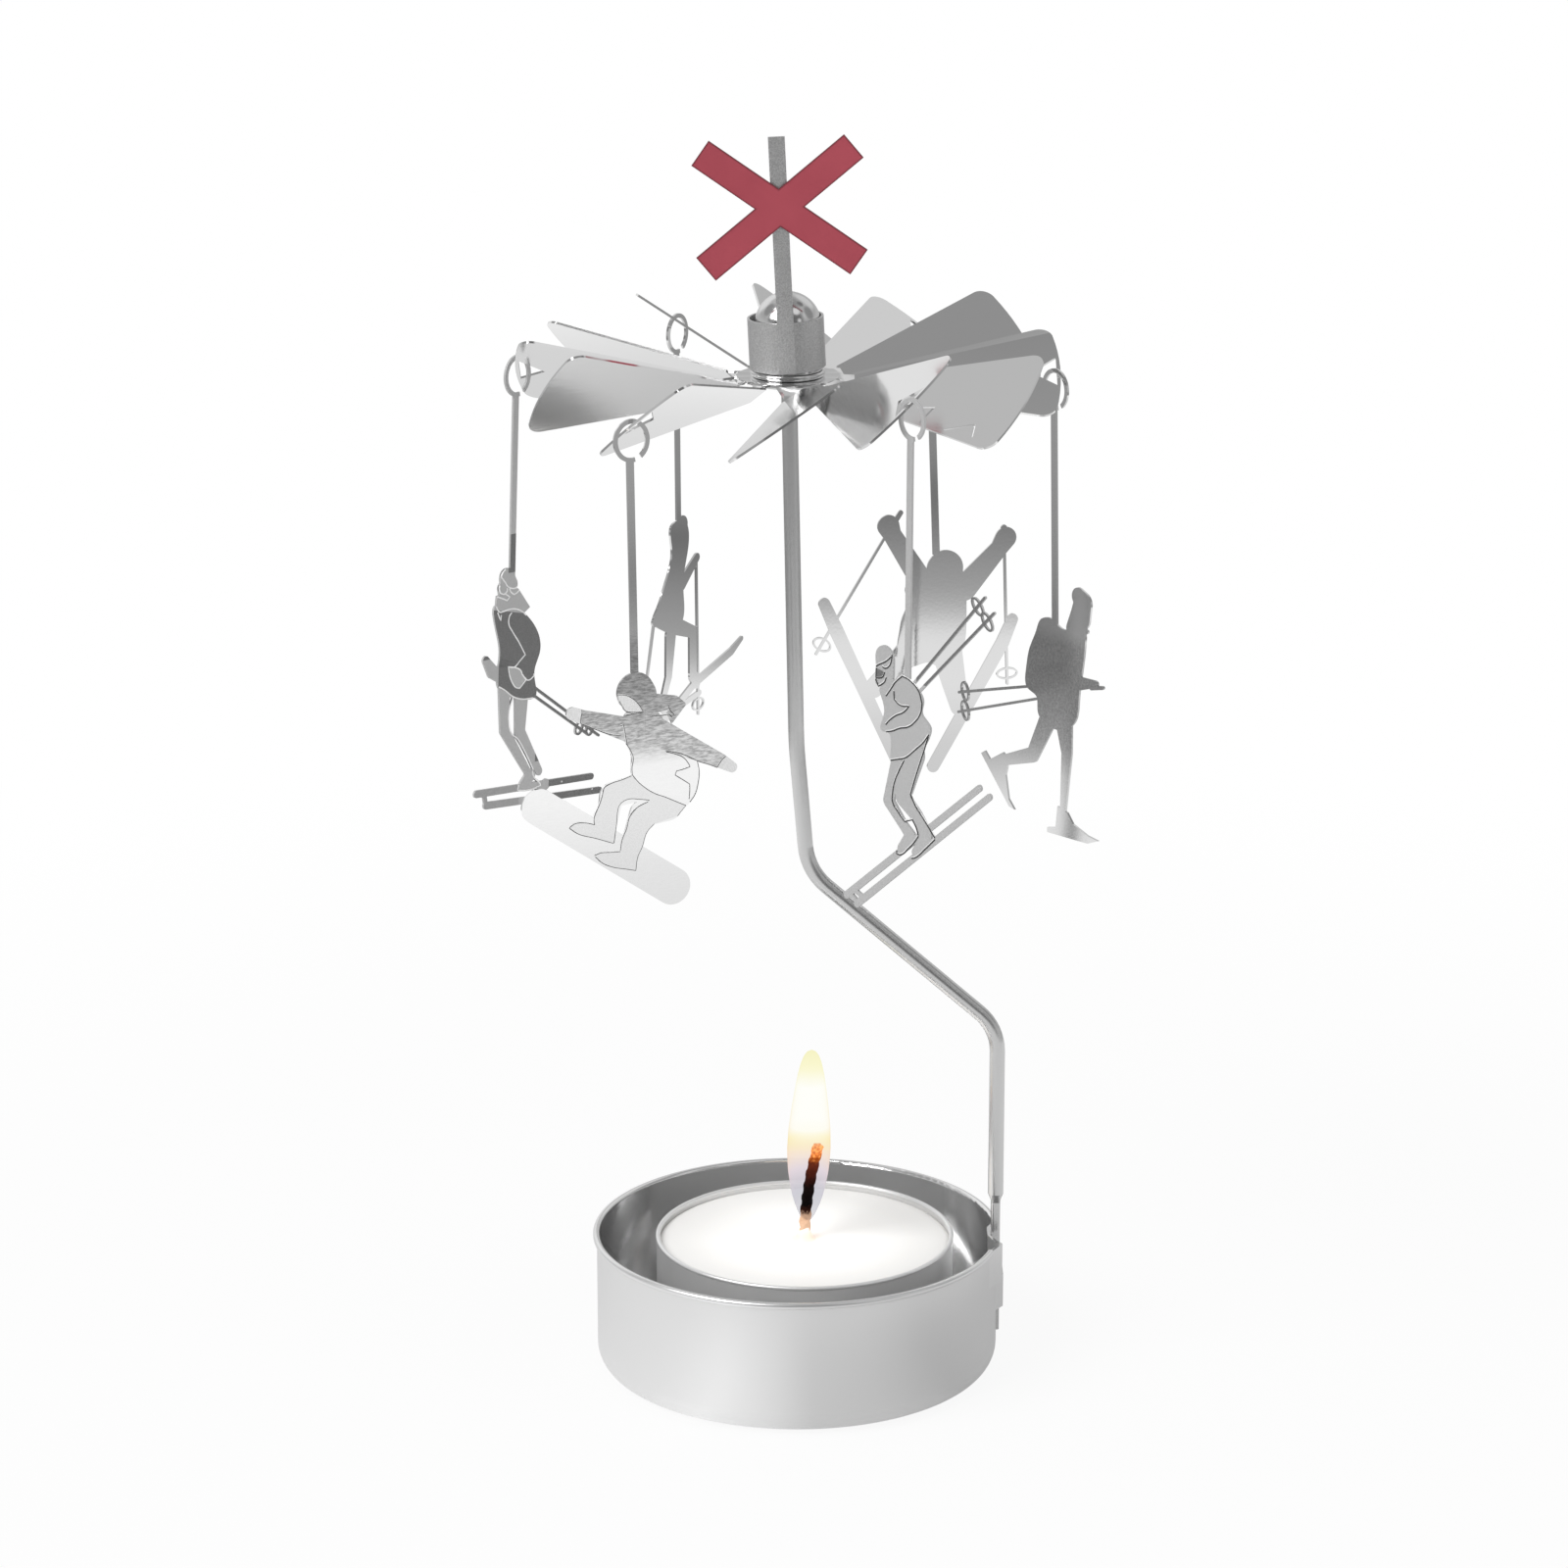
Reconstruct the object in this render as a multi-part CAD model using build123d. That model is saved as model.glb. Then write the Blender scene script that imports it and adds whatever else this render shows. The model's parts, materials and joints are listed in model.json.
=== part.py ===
from build123d import *
import os
from math import acos, atan, atan2, cos, degrees, hypot, radians, sin, tan

# A candle carousel: a tinplate cup with a tealight, a bent wire stem, and a vane wheel that turns
# on the stem's point and carries six hanging winter sport figures and a trail marker sign.
# Millimetres, +Z up, +X to the right and +Y away from the viewer.
# The origin is the middle of the cup's underside.

# Cup, drawn from tinplate
cup_radius = 26.0
cup_height = 18.15
cup_wall = 0.4
cup_corner_radius = 3.0
rim_bead_radius = 0.45

# Socket in the cup's wall, which holds the stem's flattened end
blade_thickness = 1.15
blade_width = 2.6
blade_clearance = 0.08
socket_floor = 4.5
strap_low = 7.9
strap_height = 4.4
tab_gap = 0.5
strap_foot = 1.3
lip_reach = 0.95
lip_start_deg = -4.0
lip_tip_deg = -9.5
lip_end_deg = -17.0

# Stem, one bent wire
stem_radius = 1.0
shoulder_height = 23.0
shoulder_taper = 0.9
lower_bend_height = 45.7
upper_bend_height = 66.9
upper_bend_x = 1.33
knee_height = 83.5
knee_x = -0.1
tip_x = -1.2
tip_height = 141.5
tip_length = 3.2
tip_radius = 0.15
lower_bend_radius = 7.0
upper_bend_radius = 8.0
knee_radius = 60.0
pivot_gap = 0.05

# Pivot cap, a drawn thimble clinched into the wheel
cap_radius = 4.15
cap_wall = 0.3
wheel_below_tip = 10.35
upper_bead_radius = 0.42
lower_bead_radius = 0.34

# Vane wheel, one etched and twisted sheet
vane_count = 12
wheel_radius = 33.9
wheel_turn_deg = -3.6
hub_disc_radius = 6.4
vane_sheet = 0.3
vane_pitch_deg = 36.2
vane_slit = 0.6
vane_corner_radius = 1.8
vane_root_radius = 8.0
vane_root_half = 1.5
vane_root_drop = 0.85
vane_root_shift = 0.95
neck_width = 2.2
hook_hole_width = 5.2
hook_hole_depth = 3.2
hook_bridge = 0.5
slit_width = 0.28
vane_lift_degs = (3.0, 6.5, 1.5, 3.0, 3.5, 0.0, 3.5, 4.5, 3.0, 4.5, 9.0, 3.0)
vane_extra_pitch_degs = (-7.0, 0.0, -6.0, 1.5, -1.5, 2.5, 1.0, 9.0, 2.5, -1.0, 2.0, -2.5)
vane_swing_degs = (2.5, 0.5, 0.0, -1.5, -3.0, -3.0, 0.0, 0.0, -0.5, 1.0, -2.0, 0.0)

# Hanging figures, etched from sheet
figure_sheet = 0.3
ring_across = 2.35
ring_up = 2.65
ring_strip = 0.55
ring_gap_start_deg = -80.0
ring_gap_deg = 20.0
rod_width = 0.95
pole_width = 0.35
basket_strip = 0.25
figure_height = 30.0

# Trail marker sign, one clip rolled round the cap
clip_radius = 4.45
clip_sheet = 0.3
clip_height = 6.3
clip_opening = 0.8
clip_seat_gap = 0.06
post_width = 2.05
sign_lean_deg = -2.75
sign_height = 29.5
cross_height = 20.8
cross_arm_length = 23.6
cross_arm_width = 3.7
cross_half_angle_deg = 37.4
cross_sheet = 0.35

# Tealight
tealight_radius = 19.25
tealight_height = 17.2
tealight_shift = 1.0
tealight_wall = 0.25
tealight_corner_radius = 1.2
tealight_lip_radius = 0.3
wax_drop = 0.9
wax_edge_radius = 0.7
wick_radius = 0.65
wick_height = 12.9
wick_bend = 1.8
sustainer_radius = 6.5
sustainer_sheet = 0.25
sustainer_collar_radius = 1.05
sustainer_collar_height = 2.6

# Worked out from the values above
overrun = cup_wall
wheel_height = tip_height - wheel_below_tip
wall_middle = cup_radius - cup_wall / 2
cup_inner_radius = cup_radius - cup_wall
blade_half = blade_width / 2 + blade_clearance
strap_clear = blade_thickness / 2 + blade_clearance
vane_step_deg = 360 / vane_count
wheel_bottom = wheel_height - vane_sheet / 2
wheel_top = wheel_height + vane_sheet / 2
cap_dome_height = tip_height + pivot_gap + cap_wall - cap_radius
clip_seat = wheel_top + 2 * upper_bead_radius + clip_seat_gap
hook_radius = wheel_radius - hook_bridge / 2

# Where each figure's ring sits: along its bridge as a share of the hole's width, below it as a
# share of the ring's half height, and along the ring's own plane as a share of its half width
ring_seat_shares = (
    (-0.231, 0.566, -0.255),
    (-0.269, 0.528, -0.085),
    (-0.077, 0.491, -0.298),
    (0.192, 0.491, 0.0),
    (-0.269, 0.566, 0.128),
    (-0.115, 0.528, 0.340),
)

# Two V shaped slits in the last vane, as shares of the wheel's radius along and across the vane
slit_shares = (
    ((0.580, -0.066), (0.646, -0.059), (0.626, -0.138)),
    ((0.743, -0.164), (0.852, -0.129), (0.868, -0.187)),
)

# Outlines of the six figures. Each station is (across, up, radius) and each corner is (across, up),
# as shares of the figure height, from the point where the figure meets its rod.
skier_turn_deg = 50.0
skier_rod = 25.2
skier_limb_shares = (
    ((-0.040, -0.010, 0.042), (-0.010, -0.045, 0.035)),
    ((-0.062, -0.050, 0.030), (-0.050, -0.085, 0.034), (0.030, -0.130, 0.042)),
    ((-0.043, -0.480, 0.034), (-0.037, -0.665, 0.026), (0.110, -0.865, 0.018)),
    ((0.065, -0.520, 0.042), (0.060, -0.690, 0.030), (0.185, -0.880, 0.019)),
    ((0.085, -0.925, 0.022), (0.130, -0.890, 0.030)),
    ((0.170, -0.978, 0.018), (0.230, -0.945, 0.024)),
    ((-0.160, -0.345, 0.018), (-0.118, -0.400, 0.030), (-0.080, -0.420, 0.030)),
)
skier_patch_shares = (
    ((-0.100, -0.080), (0.030, -0.065), (0.105, -0.155), (0.060, -0.180), (-0.105, -0.125)),
    ((-0.105, -0.120), (0.055, -0.165), (0.170, -0.365), (0.140, -0.440), (0.155, -0.540),
     (0.015, -0.535), (-0.085, -0.465), (-0.075, -0.340), (-0.110, -0.190)),
)
skier_ski_shares = (
    ((-0.200, -0.915, 0.016), (0.520, -0.960, 0.014)),
    ((-0.140, -0.975, 0.016), (0.575, -1.030, 0.014)),
    ((-0.155, -0.915, 0.010), (-0.140, -0.975, 0.010)),
)
skier_pole_shares = (
    ((0.140, -0.505), (0.560, -0.785)),
    ((0.130, -0.535), (0.485, -0.765)),
)
skier_basket_shares = ((0.505, -0.748, 0.020, 0.028), (0.435, -0.733, 0.020, 0.028))

snowboarder_turn_deg = 25.0
snowboarder_rod = 28.7
snowboarder_limb_shares = (
    ((-0.007, -0.080, 0.081), (0.005, -0.100, 0.080)),
    ((0.065, -0.140, 0.042), (0.165, -0.143, 0.024)),
    ((0.165, -0.143, 0.024), (0.200, -0.160, 0.012)),
    ((0.060, -0.255, 0.067), (0.365, -0.422, 0.030), (0.415, -0.455, 0.022)),
    ((-0.040, -0.235, 0.050), (-0.237, -0.157, 0.029), (-0.285, -0.135, 0.026)),
    ((-0.010, -0.485, 0.058), (-0.120, -0.500, 0.053), (-0.150, -0.645, 0.042)),
    ((-0.152, -0.660, 0.036), (-0.275, -0.612, 0.017)),
    ((0.130, -0.580, 0.063), (0.015, -0.595, 0.058), (-0.050, -0.740, 0.038)),
    ((-0.052, -0.785, 0.037), (-0.165, -0.757, 0.018)),
)
snowboarder_patch_shares = (
    ((-0.060, -0.180), (-0.055, -0.285), (-0.030, -0.350), (-0.032, -0.425), (0.065, -0.520),
     (0.205, -0.592), (0.250, -0.540), (0.267, -0.465), (0.255, -0.400), (0.150, -0.330),
     (0.100, -0.190)),
    ((0.155, -0.155), (0.212, -0.165), (0.150, -0.235), (0.130, -0.190)),
)
snowboarder_board_shares = ((-0.440, -0.505, 0.075), (0.140, -0.925, 0.078))

tourer_turn_deg = 57.0
tourer_rod = 24.3
tourer_limb_shares = (
    ((0.018, -0.042, 0.040), (0.018, -0.100, 0.038)),
    ((0.010, -0.310, 0.030), (0.130, -0.215, 0.020)),
    ((-0.150, -0.425, 0.034), (-0.200, -0.435, 0.021)),
    ((-0.080, -0.520, 0.038), (-0.100, -0.705, 0.023), (-0.160, -0.830, 0.017)),
    ((-0.160, -0.830, 0.017), (-0.120, -0.862, 0.016)),
    ((-0.025, -0.495, 0.038), (0.092, -0.545, 0.028), (0.090, -0.730, 0.028)),
    ((0.092, -0.745, 0.030), (0.118, -0.785, 0.026)),
)
tourer_patch_shares = (
    ((-0.035, -0.020), (0.060, -0.060), (0.062, -0.150), (0.030, -0.250), (0.020, -0.350),
     (0.018, -0.460), (-0.030, -0.515), (-0.145, -0.485), (-0.215, -0.425), (-0.180, -0.375),
     (-0.120, -0.280), (-0.065, -0.135)),
)
tourer_ski_shares = (
    ((0.480, -0.665, 0.011), (0.400, -0.705, 0.019)),
    ((0.400, -0.705, 0.019), (0.100, -0.785, 0.019), (-0.340, -0.995, 0.015)),
    ((0.140, -0.835, 0.013), (-0.240, -0.900, 0.013)),
)
tourer_pole_shares = (
    ((0.127, -0.220), (0.131, -0.930)),
    ((-0.210, -0.450), (-0.290, -0.780)),
)
tourer_basket_shares = ((0.131, -0.885, 0.026, 0.042), (-0.281, -0.745, 0.024, 0.040))

jumper_turn_deg = 15.0
jumper_rod = 27.0
jumper_limb_shares = (
    ((0.030, -0.083, 0.082), (0.030, -0.110, 0.078)),
    ((-0.220, 0.133, 0.049), (-0.205, 0.095, 0.040), (-0.100, -0.090, 0.048), (-0.060, -0.170, 0.055)),
    ((-0.193, 0.145, 0.012), (-0.163, 0.187, 0.011)),
    ((0.310, 0.027, 0.048), (0.280, -0.015, 0.040), (0.115, -0.180, 0.058)),
    ((0.303, 0.072, 0.014), (0.303, 0.055, 0.014)),
    ((0.028, -0.455, 0.068), (0.055, -0.600, 0.054), (0.085, -0.710, 0.050)),
    ((-0.130, -0.430, 0.066), (-0.235, -0.525, 0.050), (-0.310, -0.590, 0.044)),
)
jumper_patch_shares = (
    ((-0.110, -0.115), (0.120, -0.130), (0.123, -0.245), (0.118, -0.370), (0.085, -0.480),
     (0.000, -0.530), (-0.060, -0.500), (-0.140, -0.510), (-0.195, -0.430), (-0.185, -0.350),
     (-0.170, -0.285), (-0.143, -0.210)),
)
jumper_ski_shares = (
    ((-0.520, -0.185, 0.026), (-0.470, -0.310, 0.031), (-0.215, -0.935, 0.026)),
    ((0.330, -0.345, 0.026), (0.283, -0.445, 0.031), (-0.050, -0.975, 0.028)),
)
jumper_pole_shares = (
    ((-0.240, 0.080), (-0.565, -0.407)),
    ((0.303, -0.035), (0.300, -0.635)),
)
jumper_basket_shares = ((-0.537, -0.368, 0.026, 0.041), (0.300, -0.588, 0.023, 0.045))

racer_turn_deg = -50.0
racer_rod = 31.7
racer_limb_shares = (
    ((-0.147, 0.045, 0.055), (-0.145, -0.010, 0.052)),
    ((-0.180, -0.055, 0.022), (-0.150, -0.040, 0.030), (-0.120, -0.060, 0.040)),
    ((-0.150, -0.243, 0.018), (-0.100, -0.220, 0.030)),
    ((-0.065, -0.380, 0.036), (-0.115, -0.545, 0.030), (-0.020, -0.630, 0.024)),
    ((0.045, -0.310, 0.052), (-0.030, -0.510, 0.040), (0.060, -0.570, 0.032), (0.115, -0.635, 0.036)),
    ((-0.033, -0.730, 0.022), (0.022, -0.662, 0.029), (-0.020, -0.630, 0.024)),
    ((0.055, -0.725, 0.022), (0.120, -0.652, 0.032)),
)
racer_patch_shares = (
    ((-0.040, 0.005), (0.030, -0.025), (0.088, -0.090), (0.080, -0.130), (0.135, -0.185),
     (0.130, -0.215), (-0.015, -0.345), (-0.100, -0.370), (-0.115, -0.260), (-0.160, -0.242),
     (-0.145, -0.175), (-0.175, -0.085), (-0.095, -0.040)),
)
racer_ski_shares = (
    ((-0.370, -1.010, 0.016), (0.430, -0.365, 0.014)),
    ((-0.305, -1.032, 0.016), (0.490, -0.388, 0.014)),
    ((-0.325, -0.975, 0.010), (-0.260, -0.998, 0.010)),
    ((-0.352, -1.000, 0.012), (-0.318, -1.015, 0.012)),
)
racer_pole_shares = (
    ((0.030, -0.020), (0.445, 0.420)),
    ((0.065, -0.045), (0.500, 0.368)),
)
racer_basket_shares = ((0.403, 0.375, 0.020, 0.040), (0.460, 0.325, 0.020, 0.040))

skater_turn_deg = -50.0
skater_rod = 29.8
skater_limb_shares = (
    ((0.140, 0.135, 0.040), (0.165, 0.110, 0.052), (0.150, 0.050, 0.058), (0.110, -0.010, 0.045)),
    ((0.187, -0.007, 0.010), (0.165, -0.010, 0.016)),
    ((0.150, -0.235, 0.028), (0.240, -0.222, 0.015)),
    ((0.215, -0.242, 0.010), (0.283, -0.230, 0.008)),
    ((-0.050, -0.420, 0.046), (-0.150, -0.600, 0.034), (-0.320, -0.655, 0.024)),
    ((0.045, -0.420, 0.050), (0.062, -0.555, 0.030), (0.038, -0.805, 0.017)),
)
skater_patch_shares = (
    ((-0.080, 0.008), (-0.025, 0.012), (0.045, -0.020), (0.178, -0.012), (0.180, -0.060),
     (0.152, -0.225), (0.140, -0.300), (0.120, -0.400), (-0.030, -0.460), (-0.115, -0.400),
     (-0.122, -0.340), (-0.178, -0.312), (-0.185, -0.225), (-0.165, -0.140), (-0.120, -0.050)),
)
skater_boot_shares = (
    ((0.005, -0.795), (0.065, -0.812), (0.100, -0.855), (0.190, -0.888), (0.255, -0.898),
     (0.190, -0.922), (-0.060, -0.922), (-0.060, -0.900), (-0.008, -0.890)),
    ((-0.475, -0.655), (-0.450, -0.640), (-0.420, -0.672), (-0.335, -0.625), (-0.305, -0.650),
     (-0.310, -0.690), (-0.320, -0.722), (-0.302, -0.825), (-0.265, -0.865), (-0.300, -0.857)),
)
skater_pole_shares = (
    ((-0.170, -0.305), (-0.615, -0.412)),
    ((-0.120, -0.350), (-0.620, -0.500)),
)
skater_basket_shares = ((-0.578, -0.402, 0.020, 0.040), (-0.578, -0.487, 0.020, 0.042))


def save(solid, name):
    solid.label = name
    export_step(solid, os.path.join("parts", name + ".step"))
    print(name, len(solid.solids()), round(solid.volume, 2))


def on_circle(radius, angle_deg):
    return (radius * cos(radians(angle_deg)), radius * sin(radians(angle_deg)))


def tapered_piece(start, end):
    # A flat piece with round ends of two sizes, joined by their outer tangents
    (x_start, y_start, r_start), (x_end, y_end, r_end) = start, end
    run = hypot(x_end - x_start, y_end - y_start)
    heading = degrees(atan2(y_end - y_start, x_end - x_start))
    spread = degrees(acos((r_start - r_end) / run))

    def around(centre_x, centre_y, radius, angle_deg):
        return (centre_x + radius * cos(radians(angle_deg)), centre_y + radius * sin(radians(angle_deg)))

    start_left = around(x_start, y_start, r_start, heading + spread)
    start_back = around(x_start, y_start, r_start, heading + 180)
    start_right = around(x_start, y_start, r_start, heading - spread)
    end_left = around(x_end, y_end, r_end, heading + spread)
    end_front = around(x_end, y_end, r_end, heading)
    end_right = around(x_end, y_end, r_end, heading - spread)
    return make_face(
        Line(start_left, end_left)
        + ThreePointArc(end_left, end_front, end_right)
        + Line(end_right, start_right)
        + ThreePointArc(start_right, start_back, start_left)
    )


def limb_pieces(stations):
    return [tapered_piece(start, end) for start, end in zip(stations, stations[1:])]


def soft_patch(corners):
    return make_face(Spline(*corners, periodic=True))


def sharp_patch(corners):
    return make_face(Polyline(*corners, close=True))


def scaled(points, foot):
    # Shares of the figure height, hung below the rod's foot
    placed = []
    for point in points:
        lengths = [share * figure_height for share in point]
        lengths[1] -= foot
        placed.append(tuple(lengths))
    return placed


def pole_piece(ends):
    (x_start, y_start), (x_end, y_end) = ends
    return tapered_piece((x_start, y_start, pole_width / 2), (x_end, y_end, pole_width / 2))


def basket_piece(basket, pole):
    # A ring seen as an oval that lies across the pole
    centre_x, centre_y, along, across = basket
    (x_start, y_start), (x_end, y_end) = pole
    heading = degrees(atan2(y_end - y_start, x_end - x_start))
    ring = Ellipse(along + basket_strip / 2, across + basket_strip / 2)
    ring -= Ellipse(along - basket_strip / 2, across - basket_strip / 2)
    return Pos(centre_x, centre_y) * Rot(0, 0, heading) * ring


def hook_face(foot):
    # The open ring at the top of the rod, with its gap at the lower right
    ring = Ellipse(ring_across, ring_up) - Ellipse(ring_across - ring_strip, ring_up - ring_strip)
    gap_corner = 2 * ring_up
    gap_start = on_circle(gap_corner, ring_gap_start_deg)
    gap_end = on_circle(gap_corner, ring_gap_start_deg + ring_gap_deg)
    ring -= sharp_patch([(0, 0), gap_start, gap_end])
    rod_top = -(ring_up - ring_strip)
    rod_middle = (rod_top - foot - rod_width / 2) / 2
    rod_run = foot + rod_width / 2 + rod_top
    return ring + Pos(-rod_width / 4, rod_middle) * Rectangle(rod_width, rod_run)


def hang(face, turn_deg, place):
    # Lean the flat figure until its middle hangs under the ring, then stand it on its vane's hook
    middle = face.center(CenterOf.MASS)
    lean = degrees(atan(middle.X / middle.Y))
    flat = Rot(0, 0, lean) * face
    blank = extrude(flat, amount=figure_sheet / 2, both=True)
    across = (cos(radians(turn_deg)), sin(radians(turn_deg)), 0)
    towards_viewer = (sin(radians(turn_deg)), -cos(radians(turn_deg)), 0)
    origin = hook_point(turn_deg, place)
    print("figure", place, "leans", round(lean, 2), "and hangs from", origin)
    return Plane(origin=origin, x_dir=across, z_dir=towards_viewer) * blank


def hook_point(turn_deg, place):
    # The ring's centre, below the bridge between the vane's hole and its edge
    along_share, drop_share, shift_share = ring_seat_shares[place]
    side = along_share * hook_hole_width
    reach = (hook_radius ** 2 - side ** 2) ** 0.5
    bridge = (vane_place(place * vanes_per_figure) * Pos(reach, side, 0)).position
    shift = shift_share * ring_across
    return (
        tip_x + bridge.X + shift * cos(radians(turn_deg)),
        bridge.Y + shift * sin(radians(turn_deg)),
        wheel_height + bridge.Z - drop_share * ring_up,
    )


def flat_figure(foot, limbs, soft=(), sharp=(), skis=(), poles=(), baskets=()):
    pieces = [hook_face(foot)]
    for stations in tuple(limbs) + tuple(skis):
        pieces += limb_pieces(scaled(stations, foot))
    pieces += [soft_patch(scaled(corners, foot)) for corners in soft]
    pieces += [sharp_patch(scaled(corners, foot)) for corners in sharp]
    for ends in poles:
        pieces.append(pole_piece(scaled(ends, foot)))
    for basket, ends in zip(baskets, poles):
        centre = scaled([basket], foot)[0]
        along, across = [share * figure_height for share in basket[2:]]
        pieces.append(basket_piece((centre[0], centre[1], along, across), scaled(ends, foot)))
    first, *others = pieces
    return first.fuse(*others).clean()


def standing_skier():
    return flat_figure(skier_rod, skier_limb_shares, skier_patch_shares[1:], skier_patch_shares[:1],
                       skier_ski_shares, skier_pole_shares, skier_basket_shares)


def snowboarder():
    return flat_figure(snowboarder_rod, snowboarder_limb_shares, snowboarder_patch_shares[:1],
                       snowboarder_patch_shares[1:], (snowboarder_board_shares,))


def ski_tourer():
    return flat_figure(tourer_rod, tourer_limb_shares, tourer_patch_shares, (), tourer_ski_shares,
                       tourer_pole_shares, tourer_basket_shares)


def jumper():
    return flat_figure(jumper_rod, jumper_limb_shares, jumper_patch_shares, (), jumper_ski_shares,
                       jumper_pole_shares, jumper_basket_shares)


def downhill_racer():
    return flat_figure(racer_rod, racer_limb_shares, racer_patch_shares, (), racer_ski_shares,
                       racer_pole_shares, racer_basket_shares)


def skater():
    return flat_figure(skater_rod, skater_limb_shares, skater_patch_shares, skater_boot_shares, (),
                       skater_pole_shares, skater_basket_shares)


def bent_strip(points, thickness, low, high):
    # A strip of wall that follows the points in plan, between two heights
    strip = offset(Polyline(*points), amount=thickness / 2, side=Side.BOTH)
    return Pos(0, 0, low) * extrude(make_face(strip), amount=high - low)


def wall_window(start_deg, end_deg, low, high):
    # A block that cuts the wall between two directions, from well inside to well outside
    inner = cup_inner_radius - 2 * cup_wall
    outer = cup_radius + 4 * rim_bead_radius
    middle_deg = (start_deg + end_deg) / 2
    outline = make_face(
        Line(on_circle(inner, start_deg), on_circle(outer, start_deg))
        + ThreePointArc(on_circle(outer, start_deg), on_circle(outer, middle_deg), on_circle(outer, end_deg))
        + Line(on_circle(outer, end_deg), on_circle(inner, end_deg))
        + ThreePointArc(on_circle(inner, end_deg), on_circle(inner, middle_deg), on_circle(inner, start_deg))
    )
    return Pos(0, 0, low) * extrude(outline, amount=high - low)


def make_cup():
    inner_corner = cup_corner_radius - cup_wall
    bend = cos(radians(45))
    outer_mid = (cup_radius - cup_corner_radius * (1 - bend), cup_corner_radius * (1 - bend))
    inner_mid = (cup_inner_radius - inner_corner * (1 - bend), cup_wall + inner_corner * (1 - bend))
    bead_height = cup_height - rim_bead_radius
    profile = make_face(
        Line((0, 0), (cup_radius - cup_corner_radius, 0))
        + ThreePointArc((cup_radius - cup_corner_radius, 0), outer_mid, (cup_radius, cup_corner_radius))
        + Line((cup_radius, cup_corner_radius), (cup_radius, bead_height))
        + Line((cup_radius, bead_height), (cup_inner_radius, bead_height))
        + Line((cup_inner_radius, bead_height), (cup_inner_radius, cup_corner_radius))
        + ThreePointArc((cup_inner_radius, cup_corner_radius), inner_mid,
                        (cup_radius - cup_corner_radius, cup_wall))
        + Line((cup_radius - cup_corner_radius, cup_wall), (0, cup_wall))
        + Line((0, cup_wall), (0, 0))
    )
    bead = Pos(cup_inner_radius + rim_bead_radius, bead_height) * Circle(rim_bead_radius)
    cup = revolve(Plane.XZ * (profile + bead), axis=Axis.Z)

    # The slot for the blade, the two pushed straps and the folded lip in the rim
    strap_top = strap_low + strap_height
    tab_low = strap_top + tab_gap
    slot_deg = degrees(blade_half / wall_middle)
    foot_deg = degrees((blade_half + strap_foot) / wall_middle)
    rim_top = cup_height + overrun
    cup -= wall_window(-slot_deg, slot_deg, socket_floor, rim_top)
    cup -= wall_window(-foot_deg, foot_deg, strap_low, strap_top)
    cup -= wall_window(lip_end_deg, slot_deg, tab_low, rim_top)
    cup -= wall_window(slot_deg, foot_deg, tab_low, rim_top)
    strap_line = wall_middle + strap_clear + cup_wall / 2
    tab_line = wall_middle - strap_clear - cup_wall / 2
    lap_deg = degrees(cup_wall / wall_middle)
    cup += bent_strip([on_circle(wall_middle, -foot_deg - lap_deg), (strap_line, -blade_half),
                       (strap_line, blade_half), on_circle(wall_middle, foot_deg + lap_deg)],
                      cup_wall, strap_low, strap_top)
    lip_top = cup_height - rim_bead_radius
    cup += bent_strip([on_circle(wall_middle, foot_deg + lap_deg), (tab_line, blade_half),
                       (tab_line, -blade_half), on_circle(wall_middle, lip_start_deg - foot_deg / 2),
                       on_circle(wall_middle + lip_reach, lip_tip_deg),
                       on_circle(wall_middle, lip_end_deg - lap_deg)],
                      cup_wall, tab_low, lip_top)
    return cup


def make_stem():
    bends = FilletPolyline(
        (wall_middle, 0, shoulder_height),
        (wall_middle, 0, lower_bend_height),
        (upper_bend_x, 0, upper_bend_height),
        (knee_x, 0, knee_height),
        (tip_x, 0, tip_height - tip_length),
        radius=(lower_bend_radius, upper_bend_radius, knee_radius),
    )
    wire = sweep(Plane(origin=bends @ 0, z_dir=bends % 0) * Circle(stem_radius), path=bends)
    # The pressed end: a shoulder that tapers to a flat blade, and the blade down to the socket's floor
    shoulder = loft([
        Plane.XY.offset(shoulder_height) * Circle(stem_radius),
        Plane.XY.offset(shoulder_height - shoulder_taper) * RectangleRounded(
            blade_thickness, blade_width, blade_thickness / 4),
    ])
    blade_run = shoulder_height - shoulder_taper - socket_floor
    blade = Plane.XY.offset(socket_floor) * extrude(
        RectangleRounded(blade_thickness, blade_width, blade_thickness / 4), amount=blade_run)
    top = bends @ 1
    heading = bends % 1
    point = loft([
        Plane(origin=top, z_dir=heading) * Circle(stem_radius),
        Plane(origin=top + heading * (tip_length - tip_radius), z_dir=heading) * Circle(tip_radius),
    ])
    return wire + Pos(wall_middle, 0, 0) * (shoulder + blade) + point


def make_pivot_cap():
    inner = cap_radius - cap_wall
    foot = wheel_bottom - 2 * lower_bead_radius
    shell = Pos(0, 0, foot) * cylinder_up(cap_radius, cap_dome_height - foot)
    shell += Pos(0, 0, cap_dome_height) * Sphere(cap_radius)
    shell += Pos(0, 0, wheel_top + upper_bead_radius) * Torus(cap_radius + cap_wall / 3, upper_bead_radius)
    shell += Pos(0, 0, wheel_bottom - lower_bead_radius) * Torus(cap_radius + cap_wall / 3, lower_bead_radius)
    shell -= Pos(0, 0, foot - overrun) * cylinder_up(inner, cap_dome_height - foot + overrun)
    shell -= Pos(0, 0, cap_dome_height) * Sphere(inner)
    return Pos(tip_x, 0, 0) * shell


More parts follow.
